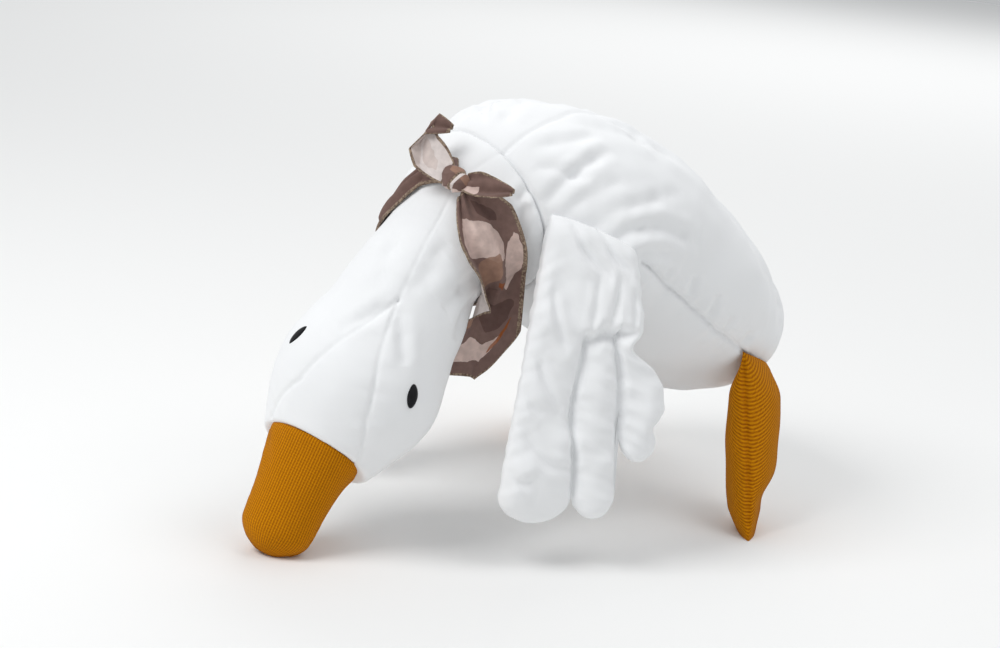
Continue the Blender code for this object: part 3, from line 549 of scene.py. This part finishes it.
def wing_shape(side):
    def shape(u, v):
        way = np.where(u < 0.5, 1.0, -1.0)
        across = np.where(u < 0.5, 2 * u, 2 - 2 * u)
        reach, lobe = feather_outline(across)
        middle, fall, wide = wing_middle(across, v, reach, side)
        edge = np.minimum(across, 1 - across) * wide
        puff = (pillow(edge, 8 * MM) * pillow((1 - v) * WING_LENGTH, 9 * MM)
                * pillow(v * WING_LENGTH, 9 * MM))
        half = WING_HALF * puff * (0.80 + 0.20 * np.where(v > 0.35, lobe, 1.0))
        half = press_channels(half, across, v, fall, wide, puff, side)
        # A fold runs across under the root, and the sewn edge puckers all round.
        fold = (v - 0.34 - 0.05 * np.abs(across - 0.68)) * WING_LENGTH
        fold = np.exp(-(fold / (3.0 * MM)) ** 2)
        half = half - 2.6 * MM * fold * np.clip(1 - np.abs(across - 0.66) / 0.26, 0, 1) * puff
        wave = ripple(fall + 0.5 * edge, 0.15 * edge, 6 * MM, 3.3 + side)
        half = half - 2.0 * MM * wave * np.exp(-edge / (6 * MM)) * puff
        half = half - np.where(way > 0, 1.0, 0.6) * wing_creases(across, v) * puff
        half = np.maximum(half, 0.9 * MM * puff)
        pinch = 1.1 * MM * np.exp(-(half / (1.6 * MM)) ** 2)
        gather = pinch * np.exp(-edge / (4 * MM)) + 0.9 * MM * wave * (1 - puff)
        inward = np.where(across < 0.5, 1, -1) * gather
        middle = middle + inward[:, None] * WING_BACK
        points = flip(middle + (way * half)[:, None] * WING_FACE, side) + PLACE
        dents = lumps(points, 30 * MM, 3.4 * MM, 20 + side) + lumps(points, 13 * MM, 1.5 * MM, 24)
        return points - (dents * puff * way)[:, None] * flip(WING_FACE, side)
    return shape


wings = [cloth("jersey_wing_" + word, 250, 150, wing_shape(side), (180, 150))
         for side, word in ((1, "left"), (-1, "right"))]

# %% [markdown]
# ## The feet
# A foot is a stuffed, webbed pad of the same rib knit as the beak, with two toes, sewn into the seam
# between side and belly. The knit runs slantwise, because the pattern was cut on the bias.

# %% Feet: webbed pads of rib knit
FOOT_ANKLE, FOOT_TOE, FOOT_HALF = 36 * MM, 62 * MM, 16 * MM
FOOT_TURN = math.radians(38)
FOOT_WEB = np.array([math.sin(FOOT_TURN), -math.cos(FOOT_TURN), 0.0])
FOOT_FACE = np.array([math.cos(FOOT_TURN), math.sin(FOOT_TURN), 0.0])
TOE_PRESS = 5 * MM
ANKLE = STATIONS[1] - 38 * MM
FOOT_RIB_MM = 1.9    # slantwise the ribs show wider apart
FOOT_RIB = FOOT_RIB_MM * MM
CLEFT = -0.16    # where the two toes part, from -1 at the rear edge to 1 at the front edge


def toe_end(across, reach, middle, half):
    """How far down a round toe reaches, as a share of the foot's length."""
    return reach - 0.10 * (1 - np.sqrt(np.clip(1 - ((across - middle) / half) ** 2, 0, 1)))


def foot_shape(side, out, back, splay):
    """A foot moved out and back from its seam, in metres, whose toes splay sideways."""
    def shape(u, v):
        way = np.where(u < 0.5, 1.0, -1.0)
        across = -np.cos(2 * math.pi * u)
        down = 1 - (1 - v) ** 1.3
        width = 0.5 * (FOOT_ANKLE + (FOOT_TOE - FOOT_ANKLE) * down)
        front, rear = toe_end(across, 1.0, 0.45, 0.62), toe_end(across, 0.67, -0.62, 0.42)
        cleft = np.abs(across - CLEFT) / 0.12
        toes = np.where(across > CLEFT, front, rear) - 0.05 * np.exp(-cleft**2)
        share = down * (1 + (toes - 1) * down)
        edge = np.sqrt(np.clip(1 - across**2, 0, 1) * np.clip((1 - down) / 0.16, 0, 1))
        swell = FOOT_HALF * (0.74 + 0.26 * np.sin(math.pi * np.clip(down * 1.05, 0, 1)))
        groove = bump_to(down, 0.6, 0.06) * np.exp(-((across - CLEFT) / 0.16) ** 2)
        swell = swell * (1 - 0.35 * groove)
        root_edge = np.sin(0.5 * math.pi * np.clip(down / 0.22, 0, 1))
        rim = 1.2 * MM * np.clip(1 - np.abs(across) ** 8, 0, 1) * np.clip(v * 40, 0, 1)
        half = rim + (swell - rim) * edge * root_edge
        thin = 0.5 * bump_to(down, 0.68, 0.035) * bump_to(across, CLEFT, 0.06) * (way > 0)
        half = half * (1 - thin)
        lean = unit(np.array([splay, -0.05, -1.0]))
        ankle = (skin_point(ANKLE, math.radians(105)) - PLACE) * np.array([side, 1, 1])
        ankle = ankle + np.array([side * -2 * MM - out, -15 * MM + back, 0.0])
        start = ankle + 0.5 * side * FOOT_HALF * FOOT_FACE + 4 * MM * lean
        length = (start[2] + PLACE[2] + TOE_PRESS) / -lean[2]
        pinch = np.where(across > 0, 2.4, 0.7) * MM * np.exp(-(half / (1.7 * MM)) ** 2)
        pinch = pinch * np.abs(across) ** 6 * np.clip((1 - down) / 0.1, 0, 1)
        sideways = width * across - np.sign(across) * pinch
        middle = start + sideways[:, None] * FOOT_WEB + (length * share)[:, None] * lean
        top = start + (0.5 * FOOT_ANKLE * across)[:, None] * FOOT_WEB
        seam_s = ANKLE + 0.5 * FOOT_ANKLE * across
        seam_a = side * np.radians(105 + 5 * across)
        normal = skin_normal(seam_s, seam_a)
        clear = 1.5 * MM * np.abs(normal @ FOOT_FACE)
        seat = skin_point(seam_s, seam_a) - PLACE + clear[:, None] * normal
        middle = middle + ((1 - down) ** 2.0)[:, None] * (seat - top)
        points = middle + (way * side * half)[:, None] * FOOT_FACE + PLACE
        slant = length * share + 0.75 * width * (1 - across)
        dents = lumps(points, 22 * MM, 0.9 * MM, 30 + side)
        dents = dents + 0.12 * MM * np.cos(2 * math.pi * slant / FOOT_RIB)
        points = points - (dents * way * side * np.minimum(half / (3 * MM), 1))[:, None] * FOOT_FACE
        points[:, 2] = np.maximum(points[:, 2], 0.0)
        return points, np.column_stack([slant, width * across * 1.2 - length * share * 0.6]) / MM
    return shape


feet = [cloth("rib_knit_foot_left", 220, 190, foot_shape(1, 0.0, 0.0, 0.19), (124, 105)),
        cloth("rib_knit_foot_right", 220, 190, foot_shape(-1, 2 * MM, 19 * MM, 0.0), (124, 105))]

# %% [markdown]
# ## The neckerchief
# A triangle of thin printed cotton is folded along its long side, laid round the neck and tied on
# the nape. On the goose's left its point hangs down in deep folds. Two grids follow the neck: the
# folded band that goes round it, and the drape with the hanging point, which covers the band's
# start. Solidify gives the cloth its thickness.

# %% Neckerchief: the band round the neck and the drape on the left
def band_shape(u, v):
    a = np.radians(24 + 331 * u)
    width = 10 * MM + 14 * MM * np.sin(0.5 * a)
    centre = MM * np.interp(np.degrees(a), [0, 40, 90, 180, 270, 304, 320, 340, 360],
                            [264, 276, 278, 286, 287, 276, 268, 265, 270])
    width = np.where(a < 1.6, 0.6, 1.0) * width * np.clip((6.28 - a) / 0.35, 0.45, 1)
    s = centre + (v - 0.5) * width
    crown = np.cos(math.pi * (v - 0.5))
    folds = 1.9 * MM * np.sin(5.2 * math.pi * v + 1.6 * np.sin(2 * a) + a) * np.sqrt(crown.clip(0))
    lift = 0.9 * MM + 2.6 * MM * crown**0.7 + folds + lumps(skin_point(s, a), 12 * MM, 0.8 * MM, 41)
    lift = np.where(a < 1.7, 0.9 * MM, lift)
    return skin_point(s, a) + np.maximum(lift, 0.5 * MM)[:, None] * skin_normal(s, a)


def drape_shape(u, v):
    on_neck = np.clip(v / 0.55, 0, 1)
    hang = np.clip((v - 0.55) / 0.45, 0, 1)
    a = np.radians(3 + 85 * on_neck)
    spread = 6 * MM + 29 * MM * np.sin(np.minimum(2 * a, 0.5 * math.pi))
    spread = spread + 8 * MM * bump_to(a, 1.1, 0.12)
    s = neck_level(0.145, math.pi / 2) + 4 * MM - 8 * MM * np.clip(a / 0.6, 0, 1) + spread * u
    open_up = bump_to(v, 0.12, 0.05)
    folds = 3.2 * MM * np.sin(3.6 * math.pi * u + 4.4 * v + 0.6) * open_up
    folds = folds + 1.0 * MM * np.sin(7.3 * math.pi * u - 5.0 * v) * (1 - 0.55 * open_up)
    lift = 5.2 * MM + folds + 2.2 * MM * open_up * np.exp(-((u - 0.95) / 0.2) ** 2)
    normal = skin_normal(s, a)
    points = skin_point(s, a) + lift[:, None] * normal
    points = points + lumps(points, 14 * MM, 1.2 * MM, 43)[:, None] * normal
    to_point = np.where(u < 0.42, u / 0.42, (1 - u) / 0.58)
    length = 34 * MM + 24 * MM * to_point**0.8
    aside = normal.copy()
    aside[:, 2] = 0
    deep = np.sin(2 * math.pi * (1.5 * u + 0.15) + 1.3 * hang)
    sway = 7 * MM * deep * hang**0.8 - 6 * MM * u * hang**2
    points = points + sway[:, None] * aside
    points[:, 2] -= length * hang
    points[:, 2] += 3 * MM * u * np.sin(math.pi * hang)
    under = np.array([-0.69, -0.72, 0.0])
    return points + (24 * MM * u**1.6 * hang**0.6)[:, None] * under


HEM_MM = 1.3
CLOTH_THICKNESS = 0.6 * MM
FRONT, BACK, HEM = 0, 1, 2    # material slots of every piece of the neckerchief


def give_thickness(piece, size_mm, all_round=True):
    """Thin cloth with an overlocked hem: the faces by the border take the thread's material."""
    weave = piece.data.uv_layers["weave_mm"].data
    for face in piece.data.polygons:
        x = sum(weave[k].uv[0] for k in face.loop_indices) / face.loop_total
        y = sum(weave[k].uv[1] for k in face.loop_indices) / face.loop_total
        at_side = all_round and min(x, size_mm[0] - x) < HEM_MM
        if at_side or min(y, size_mm[1] - y) < HEM_MM:
            face.material_index = HEM
    solidify = piece.modifiers.new("cloth thickness", "SOLIDIFY")
    solidify.thickness = CLOTH_THICKNESS
    solidify.offset = 0.0
    solidify.material_offset = BACK - FRONT
    solidify.material_offset_rim = HEM - FRONT


# Width and length of each grid in the weave, in mm. The hems are found by them.
BAND_MM, DRAPE_MM, KNOT_MM = (240, 24), (31, 115), (60, 20)
PALE_END_MM, BROWN_END_MM = (20, 45), (20, 40)
band = cloth("cotton_neckerchief_band", 360, 50, band_shape, BAND_MM, weld=False)
drape = cloth("cotton_neckerchief_drape", 90, 240, drape_shape, DRAPE_MM, weld=False)

# %% [markdown]
# The knot is a tight wrap of the same cloth, so it is a small fat ring with pressed folds, and two
# loose ends come out of it: a pale one that curls up over the shoulder and a brown one beside it.

# %% Neckerchief: the knot and its two ends
def knot_frame():
    level, a = 268 * MM, math.radians(-6)
    origin = skin_point(level, a)
    normal = skin_normal(level, a)
    along = unit(skin_point(level + MM, a) - skin_point(level - MM, a))
    return origin, normal, along, np.cross(normal, along)


KNOT_AT, KNOT_OUT, KNOT_ALONG, KNOT_SIDE = knot_frame()


def knot_shape(u, v):
    a, t = 2 * math.pi * u, 2 * v - 1
    swell = np.clip(1 - t**2, 0, 1) ** 0.5 * (1 + 0.12 * np.sin(a + 2 * t))
    folds = 1 - 0.12 * np.abs(np.sin(2.5 * a + 3.5 * t)) ** 0.5
    folds = folds - 0.14 * np.exp(-((t - 0.25) / 0.10) ** 2)
    out = 6.5 * MM * swell * folds * np.cos(a)
    along = 7.5 * MM * swell * folds * np.sin(a)
    return (KNOT_AT + (7.5 * MM + out)[:, None] * KNOT_OUT
            + (along + 2.5 * MM * t)[:, None] * KNOT_ALONG
            + (9.0 * MM * t - 0.25 * along)[:, None] * KNOT_SIDE)


knot = cloth("cotton_knot", 90, 60, knot_shape, KNOT_MM)


def end_shape(stops, width, curl):
    """A leaf of cloth that follows stops given as (sideways, along, out) from the knot, in mm."""
    def shape(u, v):
        path = np.array(stops, float) * MM
        t = v * (len(path) - 1)
        middle = np.stack([np.interp(t, np.arange(len(path)), path[:, k]) for k in range(3)], -1)
        wide = 0.5 * width * np.sin(math.pi * (0.16 + 0.80 * v)) ** 0.8
        x = 2 * u - 1
        middle[:, 1] += wide * x
        middle[:, 2] += curl * (x**2 - 0.3) * np.sin(math.pi * v) + 0.8 * MM * np.sin(5 * x + 6 * v)
        return (KNOT_AT + middle[:, :1] * KNOT_SIDE + middle[:, 1:2] * KNOT_ALONG
                + middle[:, 2:] * KNOT_OUT)
    return shape


pale_end = cloth("cotton_end_pale", 50, 90, end_shape(
    [(-5, 0, 8), (-13, -2, 9), (-22, -4, 10), (-30, -10, 12), (-28, -19, 14), (-18, -23, 12)],
    23 * MM, 4 * MM), PALE_END_MM, weld=False)
brown_end = cloth("cotton_end_brown", 50, 90, end_shape(
    [(5, -1, 8), (11, -1, 10), (17, -2, 9), (25, -4, 9), (34, -7, 10)],
    16 * MM, 3 * MM), BROWN_END_MM, weld=False)

# %% [markdown]
# ## Materials
# Colours are given as sRGB hex, as read off a swatch, and one function turns them to the linear
# values that the shader needs. The others add a node with its settings and links, a sum, a blend of
# two colours, and the last links to the shader.

# %% Colour and node helpers
def linear(hex_code):
    parts = [int(hex_code[i:i + 2], 16) / 255 for i in (1, 3, 5)]
    return (*[c / 12.92 if c <= 0.04045 else ((c + 0.055) / 1.055) ** 2.4 for c in parts], 1.0)


def add(material, kind, settings=None, **links):
    """Adds a node. Settings are its properties, and links are its inputs, each a socket or a value.

    An input is named by its own name, with _ for a space, or by i and its number.
    """
    tree = material.node_tree
    node = tree.nodes.new(kind)
    for key, value in (settings or {}).items():
        setattr(node, key, value)
    for key, value in links.items():
        numbered = key[0] == "i" and key[1:].isdigit()
        socket = node.inputs[int(key[1:]) if numbered else key.replace("_", " ")]
        if isinstance(value, bpy.types.NodeSocket):
            tree.links.new(value, socket)
        else:
            socket.default_value = value
    return node


def maths(material, operation, *values):
    inputs = {"i" + str(k): value for k, value in enumerate(values)}
    return add(material, "ShaderNodeMath", {"operation": operation}, **inputs).outputs[0]


def two_tone(material, value, dark, light, start=0.0, end=1.0):
    """Colour that goes from dark to light while the value goes from start to end."""
    ramp = add(material, "ShaderNodeValToRGB", None, Fac=value)
    for stop, place, colour in zip(ramp.color_ramp.elements, (start, end), (dark, light)):
        stop.position, stop.color = place, linear(colour)
    return ramp.outputs["Color"]


def surface(material, shader, colour, height=None, strength=0.0, distance=0.0):
    """Gives the shader its colour and, where there is a height, its bump."""
    material.node_tree.links.new(colour, shader.inputs["Base Color"])
    if height is not None:
        bump = add(material, "ShaderNodeBump", None, Strength=strength, Distance=distance,
                   Height=height)
        material.node_tree.links.new(bump.outputs["Normal"], shader.inputs["Normal"])


def new_fabric(name, roughness, sheen):
    material = bpy.data.materials.new(name)
    material.use_nodes = True
    shader = material.node_tree.nodes["Principled BSDF"]
    shader.inputs["Roughness"].default_value = roughness
    shader.inputs["Sheen Weight"].default_value = sheen
    shader.inputs["Sheen Roughness"].default_value = 0.5
    shader.inputs["Specular IOR Level"].default_value = 0.12
    return material, shader


# %% [markdown]
# Cotton jersey is a fine knit: its loops stand about 0.7 mm apart, too fine to show at this
# distance, so a very faint grain of about 1 mm stands for them. Cotton is matte with a soft sheen.

# %% White jersey
def white_jersey():
    material, shader = new_fabric("white_cotton_jersey", 0.88, 0.15)
    where = add(material, "ShaderNodeTexCoord").outputs["Object"]
    tint = add(material, "ShaderNodeTexNoise", None, Vector=where, Scale=14.0, Detail=3.0)
    weave = add(material, "ShaderNodeTexNoise", None, Vector=where, Scale=900.0, Detail=2.0)
    surface(material, shader, two_tone(material, tint.outputs["Fac"], "#EEEFF0", "#F5F6F7"),
            weave.outputs["Fac"], 0.12, 0.0003)
    shader.inputs["Subsurface Weight"].default_value = 0.08
    shader.inputs["Subsurface Radius"].default_value = (0.004, 0.004, 0.004)
    return material


jersey = white_jersey()
for piece in (body, neck, *wings):
    piece.data.materials.append(jersey)

# %% [markdown]
# The rib knit is dyed ochre. Its colour is painted lighter on the ridges and darker and redder in
# the valleys between them, as painted highlight and shade. Along each ridge the loops sit about 1.5
# mm apart.

# %% Ochre rib knit
LOOP_MM = 1.5


def rib_knit(name, rib_mm):
    material, shader = new_fabric(name, 0.95, 0.02)
    uv = add(material, "ShaderNodeTexCoord").outputs["UV"]
    split = add(material, "ShaderNodeSeparateXYZ", None, Vector=uv)
    turn = maths(material, "MULTIPLY", split.outputs["X"], 2 * math.pi / rib_mm)
    rib = maths(material, "COSINE", turn)
    loop = maths(material, "SINE",
                 maths(material, "MULTIPLY", split.outputs["Y"], 2 * math.pi / LOOP_MM))
    height = maths(material, "MULTIPLY_ADD", loop, 0.25, rib)
    fuzz = add(material, "ShaderNodeTexNoise", None, Vector=uv, Scale=1.6, Detail=4.0)
    # Painted shade and highlight: the colour follows the rib height, darker in the valleys and
    # lighter on the ridges, plus a random fuzz of tone.
    painted_rib_shade_and_fuzz = maths(material, "MULTIPLY_ADD", height, 0.28, fuzz.outputs["Fac"])
    surface(material, shader, two_tone(material, painted_rib_shade_and_fuzz, "#A35C00", "#D68C04", 0.2, 0.8),
            height, 0.5, 0.0004)
    return material


beak.data.materials.append(rib_knit("ochre_rib_knit_beak", RIB_MM))
foot_knit = rib_knit("ochre_rib_knit_foot", FOOT_RIB_MM)
for foot in feet:
    foot.data.materials.append(foot_knit)

# %% [markdown]
# Embroidery thread is twisted and shiny; its sheen is painted as fine light lines across the eye.

# %% Black satin stitch
def satin_stitch():
    material, shader = new_fabric("black_satin_stitch", 0.45, 0.1)
    split = add(material, "ShaderNodeSeparateXYZ", None,
                Vector=add(material, "ShaderNodeTexCoord").outputs["UV"])
    turn = maths(material, "MULTIPLY", split.outputs["Y"], 2 * math.pi / THREAD_MM)
    thread = maths(material, "SINE", turn)
    # Painted highlight: the colour turns lighter along each stitch, standing for the thread's sheen.
    surface(material, shader, two_tone(material, thread, "#0B0B0D", "#26262B"), thread, 0.5, 0.0002)
    return material


black = satin_stitch()
for eye in eyes:
    eye.data.materials.append(black)

# %% [markdown]
# The neckerchief is thin muslin, printed on one side in taupe with soft patches of pale pink, tan
# and a little rust. Through the back of the cloth the print shows only faintly, so that side is
# pale. Its edge is overlocked with brown thread. The print here is a plain pattern of leaves and
# patches.

# %% Printed muslin, its reverse and the overlocked edge
WARP_MM = 7    # how far noise moves the leaves' outlines, so that they look dyed and not cut


def leaf_mask(material, place, x, y, half_width, half_length, turn):
    """1 inside a pointed leaf at x, y of the weave, in mm, and 0 outside it."""
    local = add(material, "ShaderNodeMapping", {"vector_type": "TEXTURE"}, Vector=place,
                Location=(x, y, 0), Rotation=(0, 0, math.radians(turn)),
                Scale=(half_width, half_length, 1))
    split = add(material, "ShaderNodeSeparateXYZ", None, Vector=local.outputs[0])
    off = maths(material, "ABSOLUTE", split.outputs["X"])
    shape = maths(material, "MULTIPLY_ADD", split.outputs["Y"], split.outputs["Y"], off)
    return maths(material, "LESS_THAN", shape, 1.0)


def muslin(name, ground, leaves):
    """Muslin in a ground colour with leaves: x, y, half width, half length, turn and dye of each."""
    material, shader = new_fabric(name, 0.92, 0.1)
    texture = add(material, "ShaderNodeTexCoord")
    where, uv = texture.outputs["Object"], texture.outputs["UV"]
    warp = add(material, "ShaderNodeTexNoise", None, Vector=where, Scale=70.0, Detail=3.0)
    place = add(material, "ShaderNodeVectorMath", {"operation": "MULTIPLY_ADD"},
                i0=warp.outputs["Color"], i1=(WARP_MM, WARP_MM, 0), i2=uv).outputs[0]
    worn = add(material, "ShaderNodeTexNoise", None, Vector=where, Scale=150.0, Detail=3.0)
    colour = linear(ground)
    for x, y, half_width, half_length, turn, dye in leaves:
        mask = leaf_mask(material, place, x + WARP_MM / 2, y + WARP_MM / 2,
                         half_width, half_length, turn)
        thin = add(material, "ShaderNodeMapRange", None, Value=worn.outputs["Fac"],
                   To_Min=0.55, To_Max=1.15)
        part = maths(material, "MULTIPLY", mask, thin.outputs[0])
        mixed = add(material, "ShaderNodeMix", {"data_type": "RGBA"},
                    i0=part, i6=colour, i7=linear(dye))
        colour = mixed.outputs[2]
    mottle = add(material, "ShaderNodeTexNoise", None, Vector=where, Scale=260.0, Detail=4.0)
    shade = add(material, "ShaderNodeMapRange", None, Value=mottle.outputs["Fac"],
                To_Min=0.72, To_Max=1.22)
    final = add(material, "ShaderNodeMix", {"data_type": "RGBA", "blend_type": "MULTIPLY"},
                i0=1.0, i6=colour, i7=shade.outputs[0])
    weave = add(material, "ShaderNodeTexNoise", None, Vector=where, Scale=1400.0, Detail=2.0)
    surface(material, shader, final.outputs[2], weave.outputs["Fac"], 0.35, 0.0003)
    return material


PINK, TAN, RUST, DARK = "#DCC5BC", "#9C7A68", "#96501F", "#5F4944"
DRAPE_LEAVES = [
    (18, 27, 8, 19, 24, PINK), (22, 47, 10, 12, -38, TAN), (6, 52, 5, 18, -8, PINK),
    (10, 16, 3, 9, 20, DARK), (13, 62, 1.5, 6, 22, RUST), (12, 82, 6, 12, 34, DARK),
    (25, 76, 5, 11, -22, TAN), (20, 101, 13, 7, 12, PINK), (7, 98, 1.4, 5, -40, RUST),
]
BAND_LEAVES = [(x, 12, 8, 11, 60, dye)
               for x, dye in zip(range(20, 200, 36), (PINK, TAN, PINK, TAN, PINK))]
REVERSE_LEAVES = [(*leaf[:5], "#CDBFB9") for leaf in DRAPE_LEAVES]
printed = muslin("printed_cotton_muslin", "#7C645D", DRAPE_LEAVES)
folded = muslin("printed_muslin_folded", "#775F58", BAND_LEAVES)
reverse = muslin("muslin_reverse_side", "#DDD3CF", REVERSE_LEAVES)


def overlock():
    material, shader = new_fabric("brown_overlock_thread", 0.8, 0.1)
    where = add(material, "ShaderNodeTexCoord").outputs["Object"]
    loops = add(material, "ShaderNodeTexNoise", None, Vector=where, Scale=800.0, Detail=1.0)
    surface(material, shader,
            two_tone(material, loops.outputs["Fac"], "#67544A", "#A3907C", 0.35, 0.65))
    return material


edge_thread = overlock()
for piece in (band, drape, knot, pale_end, brown_end):
    sides = (reverse, folded) if piece == band else (printed if piece == drape else folded, reverse)
    for slot_material in (*sides, edge_thread):
        piece.data.materials.append(slot_material)
give_thickness(band, BAND_MM, all_round=False)
give_thickness(drape, DRAPE_MM)
give_thickness(pale_end, PALE_END_MM)
give_thickness(brown_end, BROWN_END_MM)
# Where the knot's wrap ends, the reverse side and the hem beside it show.
for face in knot.data.polygons:
    turn = knot.data.uv_layers["weave_mm"].data[face.loop_start].uv[1] / KNOT_MM[1]
    if 0.60 < turn < 0.72:
        face.material_index = BACK
    elif 0.55 < turn < 0.61:
        face.material_index = HEM

# %% [markdown]
# ## What stands for what
# Each finished piece says which solids it replaces, which record finish it takes, and that it
# belongs to the one body.

# %% Pieces, solids and finishes
SIDES = ("left", "right")


def limb_solids(limb):
    return [limb + ending for ending in ("_outer_panel", "_inner_panel", "_filling")]


PARTS = (
    (body, "white_jersey", ("body_left_panel", "body_right_panel", "belly_panel", "body_filling")),
    (neck, "white_jersey", ("neck_left_panel", "neck_right_panel", "crown_gusset", "neck_filling")),
    (beak, "ochre_rib_knit", ("beak_upper_panel", "beak_lower_panel", "beak_filling")),
    *((eye, "black_thread", (side + "_eye",)) for side, eye in zip(SIDES, eyes)),
    *((wing, "white_jersey", limb_solids(side + "_wing")) for side, wing in zip(SIDES, wings)),
    *((foot, "ochre_rib_knit", limb_solids(side + "_foot")) for side, foot in zip(SIDES, feet)),
    (band, "taupe_cotton", ("neckerchief",)),
    *((piece, "taupe_cotton", ()) for piece in (drape, knot, pale_end, brown_end)),
)
for piece, finish, solids in PARTS:
    if solids:
        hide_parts(*solids)
    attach(piece, "root")


def surface_area(piece):
    work = bmesh.new()
    work.from_mesh(piece.data)
    area = sum(face.calc_area() for face in work.faces)
    work.free()
    return area


# The cut can't be seen under its folds. The area of each of the two sheets, as modelled, is printed.
for piece, others in ((band, [knot]), (drape, [pale_end, brown_end])):
    area = surface_area(piece)
    print(piece.name, "area", round(area * 1e4), "square cm")

# %% [markdown]
# ## Floor, light and camera
# A pale floor and large soft lights, as in a shop's studio. A third light whitens the floor behind
# the goose. The Standard view transform keeps the whites white, which the default one would turn
# grey. The camera stands to the goose's front left, a little above it, and leans six degrees.

# %% Floor
def floor_material():
    material = bpy.data.materials.new("pale_studio_floor")
    material.use_nodes = True
    shader = material.node_tree.nodes["Principled BSDF"]
    shader.inputs["Base Color"].default_value = linear("#F4F4F3")
    shader.inputs["Roughness"].default_value = 0.9
    return material


work = bmesh.new()
bmesh.ops.create_grid(work, x_segments=1, y_segments=1, size=6.0)
floor_mesh = bpy.data.meshes.new("studio_floor")
work.to_mesh(floor_mesh)
work.free()
floor_mesh.materials.append(floor_material())
floor = bpy.data.objects.new("studio_floor", floor_mesh)
bpy.context.scene.collection.objects.link(floor)


# %% Lights
def softbox(name, place, aim, size, power):
    lamp = bpy.data.lights.new(name, "AREA")
    lamp.shape = "RECTANGLE"
    lamp.size = size
    lamp.size_y = size
    lamp.energy = power
    light = bpy.data.objects.new(name, lamp)
    light.location = place
    light.rotation_euler = (Vector(aim) - Vector(place)).to_track_quat("-Z", "Y").to_euler()
    bpy.context.scene.collection.objects.link(light)


softbox("key_softbox", (-0.3, -1.2, 1.5), (0, 0, 0.12), 0.9, 16)
softbox("top_softbox", (0.6, 0.5, 1.6), (0, 0, 0.1), 0.9, 5)
softbox("backdrop_softbox", (-1.7, 2.8, 2.2), (-1.5, 2.3, 0), 3.2, 46)
world = bpy.data.worlds.new("soft_studio")
world.use_nodes = True
world.node_tree.nodes["Background"].inputs["Color"].default_value = (0.96, 0.98, 1.0, 1)
world.node_tree.nodes["Background"].inputs["Strength"].default_value = 0.50
bpy.context.scene.world = world
bpy.context.scene.view_settings.view_transform = "Standard"

# %% Camera
azimuth, elevation, roll = math.radians(45), math.radians(14), math.radians(6)
distance = 1.1
target = np.array([0.0, 0.163, 0.114]) + PLACE
back = np.array([math.sin(azimuth) * math.cos(elevation),
                 -math.cos(azimuth) * math.cos(elevation), math.sin(elevation)])
camera_data = bpy.data.cameras.new("camera")
camera_data.sensor_width, camera_data.lens = 36.0, 67.3
camera = bpy.data.objects.new("camera", camera_data)
camera.location = Vector(target + distance * back)
look = Vector(-back).to_track_quat("-Z", "Y")
camera.rotation_mode = "QUATERNION"
camera.rotation_quaternion = look @ Quaternion((0, 0, 1), roll)
bpy.context.scene.collection.objects.link(camera)
bpy.context.scene.camera = camera
